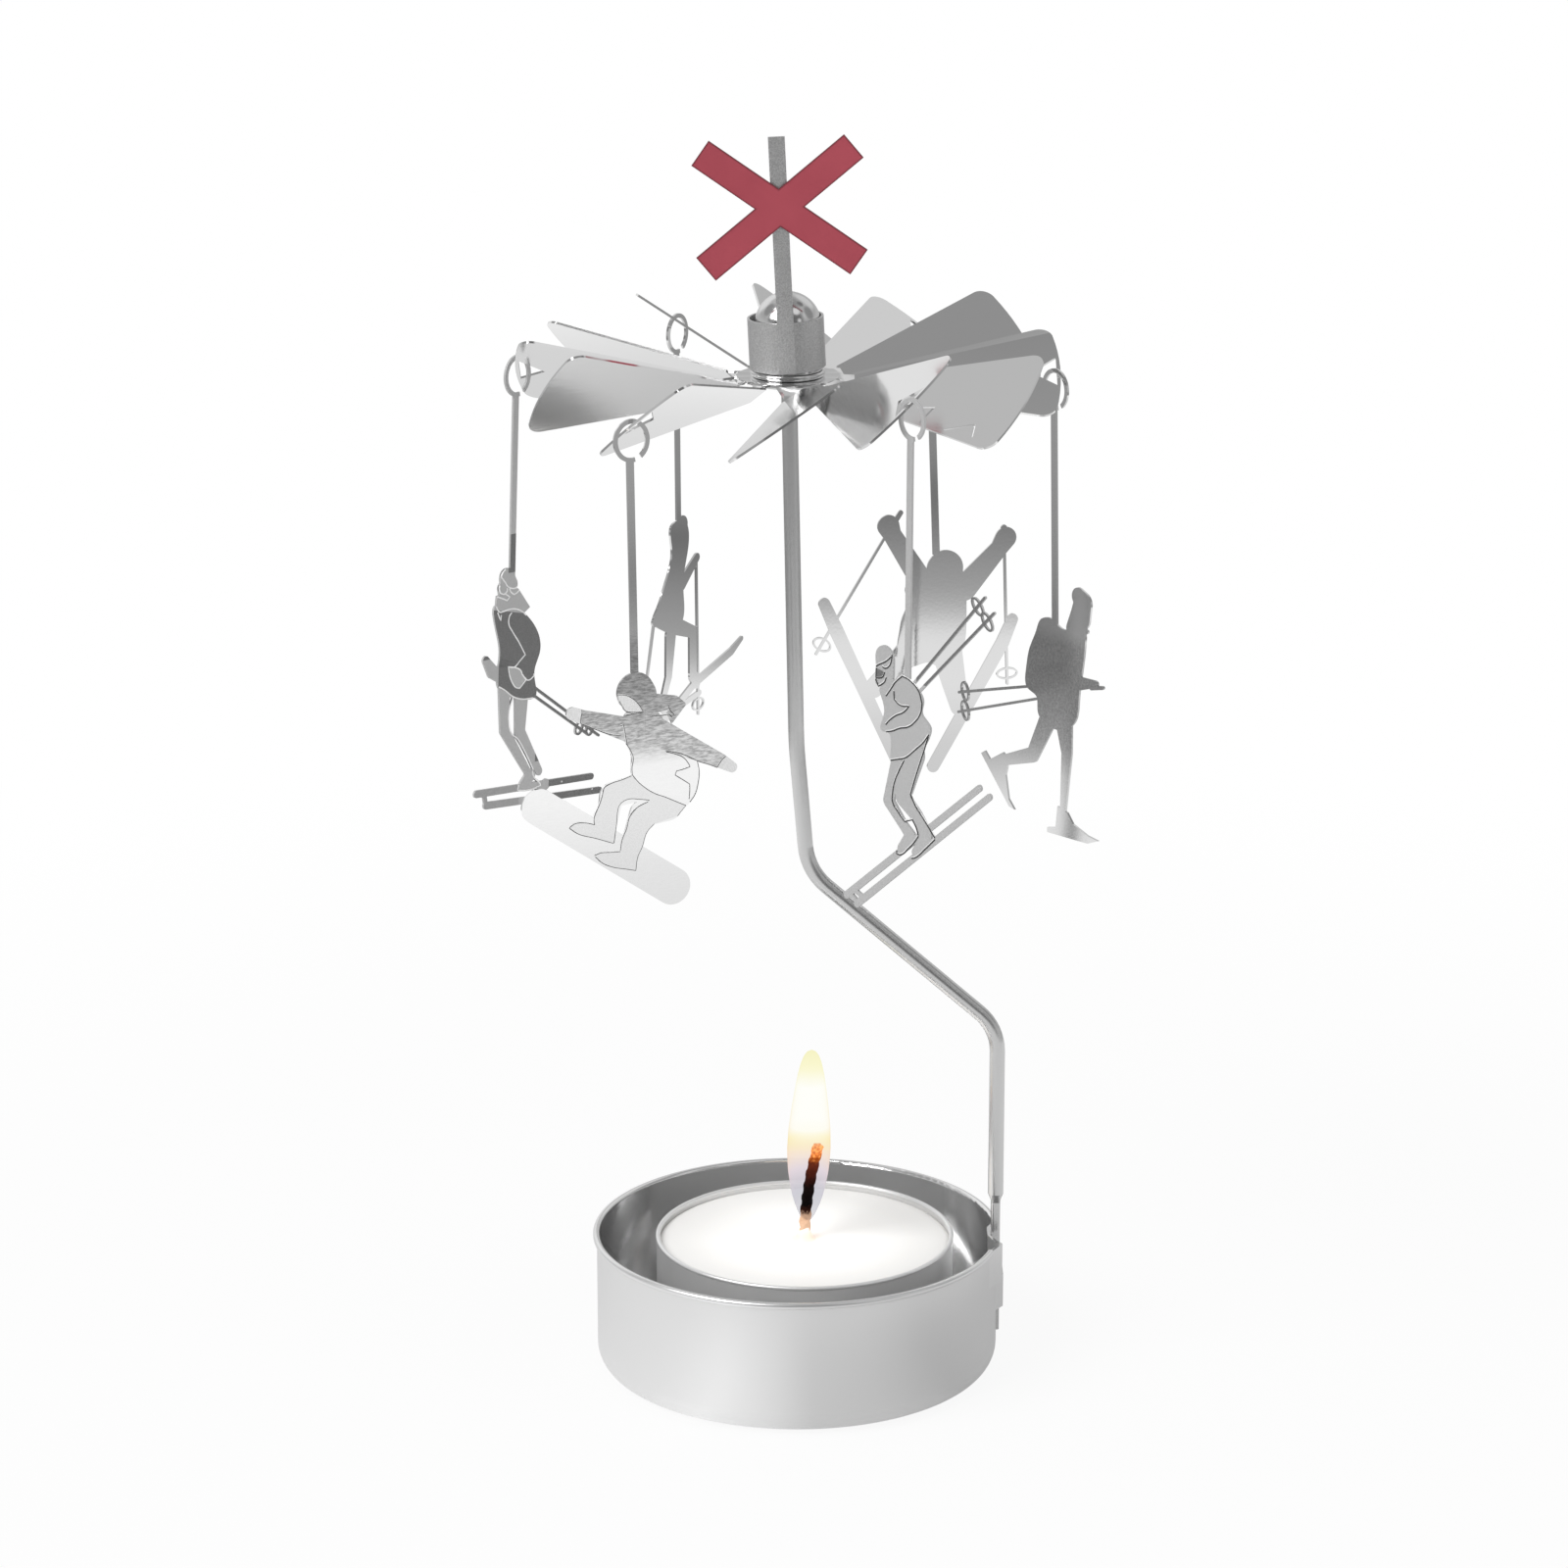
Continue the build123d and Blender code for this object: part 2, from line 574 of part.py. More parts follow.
def vane_outline():
    corner_x = wheel_radius * cos(radians(vane_step_deg / 2))
    corner_y = wheel_radius * sin(radians(vane_step_deg / 2)) - vane_slit / 2
    root_left = (vane_root_radius, vane_root_half)
    root_right = (vane_root_radius, -vane_root_half)
    face = make_face(
        Line(root_right, (corner_x, -corner_y))
        + ThreePointArc((corner_x, -corner_y), (wheel_radius, 0), (corner_x, corner_y))
        + Line((corner_x, corner_y), root_left)
        + Line(root_left, root_right)
    )
    outer = face.vertices().sort_by(Axis.X)[-2:]
    return fillet(outer, vane_corner_radius)


def hook_hole():
    # A three-sided hole whose flat side leaves the bridge that the ring hangs on
    outer_x = wheel_radius - hook_bridge
    half = hook_hole_width / 2
    return sharp_patch([(outer_x, half), (outer_x - hook_hole_depth, 0), (outer_x, -half)])


def vane_place(vane):
    # From a flat vane to its place on the wheel: pitched, set aside and down by its neck, lifted
    # from its root and turned round the wheel
    pitch = Pos(0, vane_root_shift, 0) * Rot(vane_pitch_deg + vane_extra_pitch_degs[vane], 0, 0)
    lift = Pos(vane_root_radius, 0, 0) * Rot(0, -vane_lift_degs[vane], 0) * Pos(-vane_root_radius, 0, 0)
    turn = Rot(0, 0, wheel_turn_deg + vane * vane_step_deg + vane_swing_degs[vane])
    return Pos(0, 0, -vane_root_drop) * turn * lift * pitch


def neck_section(radius):
    return Plane(origin=(radius, 0, 0), x_dir=(0, 1, 0), z_dir=(1, 0, 0)) * Rectangle(neck_width, vane_sheet)


def make_vane(vane):
    face = vane_outline()
    if vane % vanes_per_figure == 0:
        face -= hook_hole()
    if vane == vane_count - 1:
        for corners in slit_shares:
            line = Polyline(*[(along * wheel_radius, across * wheel_radius) for along, across in corners])
            face -= make_face(offset(line, amount=slit_width / 2, side=Side.BOTH))
    plate = vane_place(vane) * extrude(face, amount=vane_sheet / 2, both=True)
    on_disc = Rot(0, 0, wheel_turn_deg + vane * vane_step_deg) * neck_section(hub_disc_radius - vane_sheet)
    on_vane = vane_place(vane) * neck_section(vane_root_radius + vane_sheet)
    return plate + loft([on_disc, on_vane])


def make_vane_wheel():
    disc = extrude(Circle(hub_disc_radius) - Circle(cap_radius), amount=vane_sheet / 2, both=True)
    vanes = [make_vane(vane) for vane in range(vane_count)]
    return Pos(tip_x, 0, wheel_height) * disc.fuse(*vanes)


def sign_place(solid):
    # The clip leans on the cap: its low edge rests on the bead and its post tips to the left
    drop = (clip_radius + clip_sheet) * sin(radians(abs(sign_lean_deg)))
    return Pos(tip_x, 0, clip_seat + drop) * Rot(0, sign_lean_deg, 0) * solid


def make_sign_post():
    outer = clip_radius + clip_sheet
    band = extrude(Circle(outer) - Circle(clip_radius), amount=clip_height)
    opening = Pos(0, outer, 0) * Rectangle(clip_opening, 2 * outer - clip_radius)
    band -= extrude(opening, amount=clip_height)
    post_face = Pos(0, -(clip_radius + clip_sheet / 2)) * Rectangle(post_width, clip_sheet)
    post = extrude(post_face, amount=sign_height)
    return sign_place(band + post)


def make_sign_cross():
    arms = None
    for side in (-1, 1):
        arm = Rot(0, 0, side * cross_half_angle_deg) * Rectangle(cross_arm_length, cross_arm_width)
        arms = arm if arms is None else arms + arm
    board = Plane.XZ * extrude(arms, amount=cross_sheet)
    front = -(clip_radius + clip_sheet)
    return sign_place(Pos(0, front, cross_height) * board)


def make_tealight_cup():
    outer = cylinder_up(tealight_radius, tealight_height - tealight_lip_radius)
    outer = fillet(outer.edges().sort_by(Axis.Z)[0], tealight_corner_radius)
    hollow = Pos(0, 0, tealight_wall) * cylinder_up(tealight_radius - tealight_wall, tealight_height)
    hollow = fillet(hollow.edges().sort_by(Axis.Z)[0], tealight_corner_radius - tealight_wall)
    lip_ring = tealight_radius - tealight_lip_radius + tealight_wall / 2
    lip = Pos(0, 0, tealight_height - tealight_lip_radius) * Torus(lip_ring, tealight_lip_radius)
    return tealight_place(outer - hollow + lip)


def cylinder_up(radius, height):
    return Cylinder(radius, height, align=(Align.CENTER, Align.CENTER, Align.MIN))


def tealight_place(solid):
    return Pos(tealight_shift, 0, cup_wall) * solid


def make_wick():
    root = tealight_wall + sustainer_sheet
    wax_top = tealight_height - wax_drop
    path = Line((0, 0, root), (0, 0, wax_top)) + ThreePointArc(
        (0, 0, wax_top), (wick_bend / 4, 0, wax_top + wick_height / 2), (wick_bend, 0, wax_top + wick_height))
    stalk = sweep(Pos(0, 0, root) * Circle(wick_radius), path=path, transition=Transition.ROUND)
    return tealight_place(stalk)


def make_wick_sustainer():
    plate = Pos(0, 0, tealight_wall) * cylinder_up(sustainer_radius, sustainer_sheet)
    collar = Pos(0, 0, tealight_wall + sustainer_sheet) * (
        cylinder_up(sustainer_collar_radius, sustainer_collar_height)
        - cylinder_up(wick_radius, sustainer_collar_height))
    return tealight_place(plate + collar)


def make_wax():
    run = tealight_height - wax_drop - tealight_wall
    block = Pos(0, 0, tealight_wall) * cylinder_up(tealight_radius - tealight_wall, run)
    block = fillet(block.edges().sort_by(Axis.Z)[0], tealight_corner_radius - tealight_wall)
    block = fillet(block.edges().sort_by(Axis.Z)[-1], wax_edge_radius)
    block = tealight_place(block)
    block -= make_wick_sustainer()
    wick_hole = Pos(0, 0, tealight_wall) * cylinder_up(wick_radius, tealight_height)
    return block - tealight_place(wick_hole)


figures = (
    ("skater", skater, skater_turn_deg),
    ("jumper", jumper, jumper_turn_deg),
    ("ski_tourer", ski_tourer, tourer_turn_deg),
    ("standing_skier", standing_skier, skier_turn_deg),
    ("snowboarder", snowboarder, snowboarder_turn_deg),
    ("downhill_racer", downhill_racer, racer_turn_deg),
)
vanes_per_figure = vane_count // len(figures)

os.makedirs("parts", exist_ok=True)
save(make_cup(), "cup")
save(make_stem(), "stem")
save(make_pivot_cap(), "pivot_cap")
save(make_vane_wheel(), "vane_wheel")
save(make_sign_post(), "sign_post")
save(make_sign_cross(), "sign_cross")
for place, (name, outline, turn_deg) in enumerate(figures):
    save(hang(outline(), turn_deg, place), name)
save(make_tealight_cup(), "tealight_cup")
save(make_wax(), "tealight_wax")
save(make_wick(), "wick")
save(make_wick_sustainer(), "wick_sustainer")
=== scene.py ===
import bpy
import bmesh
import json
import math
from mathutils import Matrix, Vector
from mathutils.bvhtree import BVHTree


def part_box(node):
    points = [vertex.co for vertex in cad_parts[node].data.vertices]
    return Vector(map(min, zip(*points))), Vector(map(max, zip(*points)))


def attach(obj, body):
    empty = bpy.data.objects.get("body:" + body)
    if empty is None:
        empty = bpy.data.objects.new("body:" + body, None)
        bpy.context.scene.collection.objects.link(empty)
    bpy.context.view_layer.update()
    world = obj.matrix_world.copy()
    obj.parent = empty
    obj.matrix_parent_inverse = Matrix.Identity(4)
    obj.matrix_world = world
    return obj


# A candle carousel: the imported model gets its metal, enamel, wax and flame, and the etched drawing
# on its hanging figures. Metres, +Z up, +X to the stem's socket and +Y away from the viewer.
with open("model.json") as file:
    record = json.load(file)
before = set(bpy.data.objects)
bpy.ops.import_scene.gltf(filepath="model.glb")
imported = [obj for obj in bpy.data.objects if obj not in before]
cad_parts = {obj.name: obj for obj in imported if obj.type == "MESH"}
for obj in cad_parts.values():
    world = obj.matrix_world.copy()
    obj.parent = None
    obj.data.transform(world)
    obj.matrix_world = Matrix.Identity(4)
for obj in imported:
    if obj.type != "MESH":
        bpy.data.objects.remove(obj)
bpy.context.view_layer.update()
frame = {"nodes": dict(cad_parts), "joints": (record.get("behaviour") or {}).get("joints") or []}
nodes = frame["nodes"]
joints = {joint["name"]: joint for joint in frame["joints"]}
mm = 0.001
# Points that lie closer than this are one point
weld = 0.0001 * mm


def linear(hexColour):
    channels = []
    for start in (1, 3, 5):
        share = int(hexColour[start:start + 2], 16) / 255
        channels.append(share / 12.92 if share <= 0.04045 else ((share + 0.055) / 1.055) ** 2.4)
    return (*channels, 1.0)


def addNode(tree, kind, inputs=None, stops=None, **settings):
    # One node with its settings. Each of its inputs gets a value, a socket or the first output of
    # another node. A ramp's stop holds a share from 0 to 1, and a hex colour or a grey.
    node = tree.nodes.new(kind)
    for name, value in settings.items():
        setattr(node, name, value)
    for name, value in (inputs or {}).items():
        source = value.outputs[0] if isinstance(value, bpy.types.Node) else value
        if isinstance(source, bpy.types.NodeSocket):
            tree.links.new(source, node.inputs[name])
        else:
            node.inputs[name].default_value = value
    elements = node.color_ramp.elements if stops else []
    while len(elements) < len(stops or []):
        elements.new(0.5)
    for element, (position, colour) in zip(elements, stops or []):
        element.position = position
        element.color = linear(colour) if isinstance(colour, str) else (colour, colour, colour, 1.0)
    return node


def startMaterial(name):
    # An empty node material, and the place in metres that its patterns are laid out by
    material = bpy.data.materials.new(name)
    material.use_nodes = True
    tree = material.node_tree
    tree.nodes.clear()
    place = addNode(tree, "ShaderNodeTexCoord").outputs["Object"]
    return material, tree, place


def finishMaterial(material, surface):
    addNode(material.node_tree, "ShaderNodeOutputMaterial", {"Surface": surface})
    return material


def dress(piece, material):
    piece.data.materials.clear()
    piece.data.materials.append(material)


def placePiece(name, mesh, body):
    piece = bpy.data.objects.new(name, mesh)
    bpy.context.scene.collection.objects.link(piece)
    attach(piece, body)
    return piece


def startTree(name, inputs):
    # A Geometry Nodes tree, the identifiers of its named inputs, and the node that hands them out
    tree = bpy.data.node_groups.new(name, "GeometryNodeTree")
    tree.interface.new_socket("Geometry", in_out="INPUT", socket_type="NodeSocketGeometry")
    sockets = {}
    for label, kind in inputs.items():
        sockets[label] = tree.interface.new_socket(label, in_out="INPUT", socket_type=kind).identifier
    tree.interface.new_socket("Geometry", in_out="OUTPUT", socket_type="NodeSocketGeometry")
    return tree, sockets, addNode(tree, "NodeGroupInput")


def growMesh(name, curve, tree, sockets, values):
    # The plain mesh that a tree makes along a curve
    route = bpy.data.objects.new(name + "Route", curve)
    bpy.context.scene.collection.objects.link(route)
    modifier = route.modifiers.new("grow", "NODES")
    modifier.node_group = tree
    for label, value in values.items():
        modifier[sockets[label]] = value
    bpy.context.view_layer.update()
    mesh = bpy.data.meshes.new_from_object(route.evaluated_get(bpy.context.evaluated_depsgraph_get()))
    mesh.name = name
    bpy.data.objects.remove(route)
    for polygon in mesh.polygons:
        polygon.use_smooth = True
    return mesh


def addPiece(name, vertices, faces, body, material):
    # A mesh piece whose outward side is worked out here, and which moves with its body
    mesh = bpy.data.meshes.new(name)
    mesh.from_pydata(vertices, [], faces)
    form = bmesh.new()
    form.from_mesh(mesh)
    bmesh.ops.remove_doubles(form, verts=form.verts, dist=weld)
    bmesh.ops.recalc_face_normals(form, faces=form.faces)
    form.to_mesh(mesh)
    form.free()
    for polygon in mesh.polygons:
        polygon.use_smooth = True
    mesh.materials.append(material)
    return placePiece(name, mesh, body)


# Metal. All of it is tinplate, aluminium or steel wire, so the finishes differ by how they were
# worked. The spread is the share by which a finish's roughness strays, where it isn't the usual one.

metal = {
    "wheel": {"colour": "#EDEDED", "roughness": 0.10, "lineMm": 0.5, "along": (6, 6, 1), "relief": 0.03},
    "cap": {"colour": "#E4E4E4", "roughness": 0.14, "lineMm": 0.5, "along": (6, 6, 1), "relief": 0.03},
    "cup": {"colour": "#F0F0F0", "roughness": 0.29, "spread": 0.04, "lineMm": 2.5, "along": (1, 1, 12),
            "relief": 0.05, "metallic": 0.9, "insideRoughness": 0.13},
    "stem": {"colour": "#DEDEDE", "roughness": 0.26, "spread": 0.04, "lineMm": 0.12, "along": (1, 1, 30),
             "relief": 0.15},
    "figures": {"colour": "#E0E0E0", "roughness": 0.05, "lineMm": 0.4, "along": (1, 1, 1),
                "relief": 0.008},
    "candleCup": {"colour": "#F2F2F2", "roughness": 0.35, "lineMm": 0.4, "along": (1, 1, 10),
                  "relief": 0.1, "metallic": 0.7},
    "sustainer": {"colour": "#C8C8C8", "roughness": 0.35, "lineMm": 0.3, "along": (1, 1, 1),
                  "relief": 0.1},
}
sheen = {"cloudMm": 11.11, "spread": 0.2, "reliefMm": 0.1}
vaneBend = {"vaneCount": 12, "turnDeg": -3.6, "edgeTiltDeg": 5.0, "halfWidthMm": 8.0}


def vaneRelief(tree, place):
    # Each vane is bowed a little across its width by its twisted neck: a height of a parabola over
    # the distance from the vane's middle line
    tip = joints["wheel_spin"]["pos_m"]
    fromAxis = addNode(tree, "ShaderNodeVectorMath", {0: place, 1: tuple(tip)}, operation="SUBTRACT")
    axes = addNode(tree, "ShaderNodeSeparateXYZ", {0: fromAxis})
    turn = addNode(tree, "ShaderNodeMath", {0: axes.outputs["Y"], 1: axes.outputs["X"]},
                   operation="ARCTAN2")
    step = math.radians(360 / vaneBend["vaneCount"])
    start = math.radians(vaneBend["turnDeg"]) - step / 2
    local = addNode(tree, "ShaderNodeMath", {0: turn, 1: start - 2 * math.pi}, operation="SUBTRACT")
    wrapped = addNode(tree, "ShaderNodeMath", {0: local, 1: step}, operation="MODULO")
    offMiddle = addNode(tree, "ShaderNodeMath", {0: wrapped, 1: step / 2}, operation="SUBTRACT")
    reach = addNode(tree, "ShaderNodeVectorMath", {0: fromAxis}, operation="LENGTH")
    across = addNode(tree, "ShaderNodeMath", {0: offMiddle, 1: reach.outputs["Value"]},
                     operation="MULTIPLY")
    square = addNode(tree, "ShaderNodeMath", {0: across, 1: across}, operation="MULTIPLY")
    bow = math.tan(math.radians(vaneBend["edgeTiltDeg"])) / (2 * vaneBend["halfWidthMm"] * mm)
    return addNode(tree, "ShaderNodeMath", {0: square, 1: bow}, operation="MULTIPLY")


def makeBrightMetal(name, finish, relief=None):
    # Rolled or drawn lines pull the highlight out along the work, and the sheen clouds a little
    material, tree, place = startMaterial(name)
    scale = 1 / (finish["lineMm"] * mm)
    stretch = addNode(tree, "ShaderNodeMapping",
                      {"Vector": place, "Scale": [scale / share for share in finish["along"]]})
    lines = addNode(tree, "ShaderNodeTexNoise", {"Vector": stretch, "Scale": 1.0, "Detail": 2.0})
    cloud = addNode(tree, "ShaderNodeTexNoise",
                    {"Vector": place, "Scale": 1 / (sheen["cloudMm"] * mm), "Detail": 1.0})
    roughness, spread = finish["roughness"], finish.get("spread", sheen["spread"])
    gloss = addNode(tree, "ShaderNodeMapRange",
                    {"Value": cloud, "From Min": 0.3, "From Max": 0.7, "To Min": roughness * (1 - spread),
                     "To Max": roughness * (1 + spread)})
    if "insideRoughness" in finish:
        # The punch left the inside, which faces the axis, smoother than the die left the outside
        flat = addNode(tree, "ShaderNodeVectorMath", {0: place, 1: (1, 1, 0)}, operation="MULTIPLY")
        facing = addNode(tree, "ShaderNodeNewGeometry").outputs["Normal"]
        outwards = addNode(tree, "ShaderNodeVectorMath", {0: flat, 1: facing}, operation="DOT_PRODUCT")
        outside = addNode(tree, "ShaderNodeMath", {0: outwards.outputs["Value"], 1: mm},
                          operation="GREATER_THAN")
        gloss = addNode(tree, "ShaderNodeMix",
                        {"Factor": outside, "A": finish["insideRoughness"], "B": gloss})
    bump = addNode(tree, "ShaderNodeBump",
                   {"Height": lines, "Strength": finish["relief"], "Distance": sheen["reliefMm"] * mm})
    if relief:
        bow = addNode(tree, "ShaderNodeBump",
                      {"Height": relief(tree, place), "Strength": 1.0, "Distance": 1.0})
        tree.links.new(bow.outputs["Normal"], bump.inputs["Normal"])
    shader = addNode(tree, "ShaderNodeBsdfPrincipled",
                     {"Base Color": linear(finish["colour"]), "Metallic": finish.get("metallic", 1.0),
                      "Roughness": gloss, "Normal": bump})
    return finishMaterial(material, shader)


dress(nodes["vane_wheel"], makeBrightMetal("bentBrightTinplate", metal["wheel"], vaneRelief))
dress(nodes["pivot_cap"], makeBrightMetal("deepDrawnThimbleTin", metal["cap"]))
dress(nodes["cup"], makeBrightMetal("deepDrawnCupTin", metal["cup"]))
dress(nodes["stem"], makeBrightMetal("drawnSteelWire", metal["stem"]))
dress(nodes["tealight_cup"], makeBrightMetal("pressedAluminium", metal["candleCup"]))
dress(nodes["wick_sustainer"], makeBrightMetal("tinnedSteel", metal["sustainer"]))
figureTin = makeBrightMetal("etchedTinplate", metal["figures"])
for name in ("jumper", "ski_tourer"):
    dress(nodes[name], figureTin)


# Matt metal. Heights are from the table up: a finish's band of painted shade deepens from the first
# to the second and fades again from the third to the fourth.
matt = {
    "post": {"colour": "#D8D8D8", "roughness": 0.42, "grainMm": 0.16, "grainDepthMm": 0.05,
             "contrast": 0.16},
    "figure": {"colour": "#BEBEBE", "roughness": 0.5, "grainMm": 0.2, "grainDepthMm": 0.008,
               "contrast": 0.03, "metallic": 0.35},
    "board": {"colour": "#F8F8F8", "roughness": 0.08, "grainMm": 0.24, "grainDepthMm": 0.001,
              "contrast": 0.01, "along": (4, 4, 1),
              "paintedShade": {"colour": "#C6C6C6", "contrast": 0.34, "heightsMm": (88.8, 91.8, 103.0, 106.0)}},
    "sleeve": {"colour": "#F8F8F8", "roughness": 0.08, "grainMm": 0.24, "grainDepthMm": 0.001,
               "contrast": 0.01, "along": (4, 4, 1),
               "paintedShade": {"colour": "#C6C6C6", "contrast": 0.34, "heightsMm": (80.0, 84.0, 103.0, 106.0)}},
    "skater": {"colour": "#E6E6E6", "roughness": 0.12, "grainMm": 0.3, "grainDepthMm": 0.0006,
               "contrast": 0.01,
               "paintedShade": {"colour": "#C8C8C8", "contrast": 0.14, "heightsMm": (80.0, 84.0, 97.0, 99.0)}},
    "trousers": {"colour": "#F0F0F0", "roughness": 0.12, "grainMm": 0.2, "grainDepthMm": 0.002,
                 "contrast": 0.03},
    "pale": {"colour": "#F0F0F0", "roughness": 0.4, "grainMm": 0.2, "grainDepthMm": 0.01,
             "contrast": 0.04, "metallic": 0.3},
    "dark": {"colour": "#828282", "roughness": 0.5, "grainMm": 0.15, "grainDepthMm": 0.03,
             "contrast": 0.14, "metallic": 0.6},
    "ski": {"colour": "#AAAAAA", "roughness": 0.3, "grainMm": 0.2, "grainDepthMm": 0.01, "contrast": 0.06,
            "metallic": 0.6},
    "groove": {"colour": "#404040", "roughness": 0.6, "grainMm": 0.2, "grainDepthMm": 0.01,
               "contrast": 0.06, "metallic": 0.3},
}


def makeMattMetal(name, finish):
    # Etched or satin tin: fine pits break the mirror into speckles of slightly different grey. A finish
    # with a band of painted shade is darker over its middle heights, with stronger speckles.
    material, tree, place = startMaterial(name)
    scale = [1 / (finish["grainMm"] * mm * share) for share in finish.get("along", (1, 1, 1))]
    stretch = addNode(tree, "ShaderNodeMapping", {"Vector": place, "Scale": scale})
    grain = addNode(tree, "ShaderNodeTexNoise",
                    {"Vector": stretch, "Scale": 1.0, "Detail": 3.0, "Roughness": 0.6})
    shades = []
    for coat in (finish, finish.get("paintedShade", finish)):
        base, swing = linear(coat["colour"])[0], coat["contrast"]
        shades.append(addNode(tree, "ShaderNodeValToRGB", {"Fac": grain},
                              stops=[(0.36, base * (1 - swing)), (0.64, base * (1 + swing))]))
    shade = shades[0]
    # Painted shade: a darker band over the middle heights
    if "paintedShade" in finish:
        axes = addNode(tree, "ShaderNodeSeparateXYZ", {0: place})
        low, full, last, high = (height * mm for height in finish["paintedShade"]["heightsMm"])
        share = addNode(tree, "ShaderNodeMapRange",
                        {"Value": axes.outputs["Z"], "From Min": low, "From Max": high})
        shadeFrom, shadeTo = (full - low) / (high - low), (last - low) / (high - low)
        shadeBand = addNode(tree, "ShaderNodeValToRGB", {"Fac": share},
                       stops=[(0.0, 0.0), (shadeFrom, 1.0), (shadeTo, 1.0), (1.0, 0.0)])
        shade = addNode(tree, "ShaderNodeMix", {0: shadeBand, 6: shades[0], 7: shades[1]},
                        data_type="RGBA").outputs[2]
    bump = addNode(tree, "ShaderNodeBump",
                   {"Height": grain, "Strength": 1.0, "Distance": finish["grainDepthMm"] * mm})
    shader = addNode(tree, "ShaderNodeBsdfPrincipled",
                     {"Base Color": shade, "Metallic": finish.get("metallic", 1.0),
                      "Roughness": finish["roughness"], "Normal": bump})
    return finishMaterial(material, shader)


dress(nodes["sign_post"], makeMattMetal("satinSpringSteel", matt["post"]))
etchedTin = makeMattMetal("mattEtchedTin", matt["figure"])
darkEtchedTinAndShade = makeMattMetal("deepEtchedTinAndShade", matt["dark"])
skiTin = makeMattMetal("smokedTin", matt["ski"])
paleEtchedTin = makeMattMetal("paleEtchedTin", matt["pale"])
trouserTin = makeMattMetal("wipedTin", matt["trousers"])
for name in ("standing_skier", "downhill_racer"):
    dress(nodes[name], etchedTin)
dress(nodes["snowboarder"], makeMattMetal("brushedBrightTin", matt["board"]))
dress(nodes["skater"], makeMattMetal("speckledBrightTin", matt["skater"]))
print("metal is dressed")


# Sign: baked enamel on tinplate

enamel = {"colour": "#AA4955", "deep": "#A24450", "edge": "#5E222A", "armHalfWidthMm": 1.85,
          "armHalfLengthMm": 11.8, "armAngleDeg": 37.4, "leanDeg": -2.75, "edgeMm": 0.25,
          "roughness": 0.38, "specular": 0.35, "cloudMm": 7.0}


def makeEnamel():
    # A satin red that clouds a little, and is darker along the edges of both arms.
    material, tree, place = startMaterial("bakedCrimsonEnamel")
    low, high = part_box("sign_cross")
    middle = (Vector(low) + Vector(high)) / 2
    masks = []
    for side in (-1, 1):
        angle = math.radians(side * enamel["armAngleDeg"] + enamel["leanDeg"])
        along = Vector((math.cos(angle), 0, -math.sin(angle)))
        across = Vector((math.sin(angle), 0, math.cos(angle)))
        fromMiddle = addNode(tree, "ShaderNodeVectorMath", {0: place, 1: middle}, operation="SUBTRACT")
        inside = []
        for direction, half in ((along, enamel["armHalfLengthMm"]), (across, enamel["armHalfWidthMm"])):
            distance = addNode(tree, "ShaderNodeVectorMath", {0: fromMiddle, 1: direction},
                               operation="DOT_PRODUCT")
            size = addNode(tree, "ShaderNodeMath", {0: distance.outputs["Value"]}, operation="ABSOLUTE")
            inside.append(addNode(tree, "ShaderNodeMapRange",
                                  {"Value": size, "From Min": half * mm,
                                   "From Max": (half - enamel["edgeMm"]) * mm}))
        masks.append(addNode(tree, "ShaderNodeMath", {0: inside[0], 1: inside[1]}, operation="MINIMUM"))
    whole = addNode(tree, "ShaderNodeMath", {0: masks[0], 1: masks[1]}, operation="MAXIMUM")
    cloud = addNode(tree, "ShaderNodeTexNoise",
                    {"Vector": place, "Scale": 1 / (enamel["cloudMm"] * mm), "Detail": 2.0})
    coat = addNode(tree, "ShaderNodeValToRGB", {"Fac": cloud},
                   stops=[(0.35, enamel["deep"]), (0.65, enamel["colour"])])
    colour = addNode(tree, "ShaderNodeMix", {0: whole, 6: linear(enamel["edge"]), 7: coat},
                     data_type="RGBA")
    shader = addNode(tree, "ShaderNodeBsdfPrincipled",
                     {"Base Color": colour.outputs[2], "Roughness": enamel["roughness"],
                      "Specular IOR Level": enamel["specular"]})
    return finishMaterial(material, shader)


dress(nodes["sign_cross"], makeEnamel())
print("sign is enamelled")


# Candle: lit paraffin wax, a burnt wick with its ember, and the flame

candle = {
    "waxTop": 16.7, "axisX": 1.0, "wickTopX": 2.8, "wickTop": 29.6, "wickRadiusMm": 0.65,
    "waxGlow": 0.30, "edgeGlow": 0.06, "glowReachMm": 17.0, "colourReachMm": 20.0,
    "rippleMm": 3.846, "rippleDepthMm": 0.05,
    "fibreMm": 0.3846, "fibreDepthMm": 0.15, "charRagged": 0.12, "charSinkMm": 0.2,
    "emberFrom": 0.84, "emberTo": 0.94, "emberGlow": 0.8,
    "meniscusRadiusMm": 1.6, "meniscusHeightMm": 1.8, "meniscusSinkMm": 0.05, "meniscusBend": 2.2,
    "meniscusRings": 12, "meniscusSides": 40,
    "strands": 3, "strandMm": 0.36, "strandOffMm": 0.42, "strandTurns": 2.6, "strandSteps": 60,
    "strandPoints": 90, "strandSides": 12, "raggedMm": 0.16, "raggedGrainMm": 0.5,
}
flame = {
    "baseX": 1.3, "tipX": 1.9, "base": 19.5, "height": 23.2, "sides": 48, "rings": 40,
    "leastRadiusMm": 0.02, "rimBlend": 0.3, "rimPower": 2.2,
    # share of the height and half width in millimetres
    "profile": ((0.0, 0.6), (0.02, 0.95), (0.05, 1.25), (0.1, 1.7), (0.168, 2.15), (0.289, 2.65),
                (0.41, 2.82), (0.53, 2.72), (0.65, 2.42), (0.75, 2.1), (0.853, 1.72), (0.92, 1.36),
                (0.96, 1.02), (0.985, 0.65), (1.0, 0.0)),
}


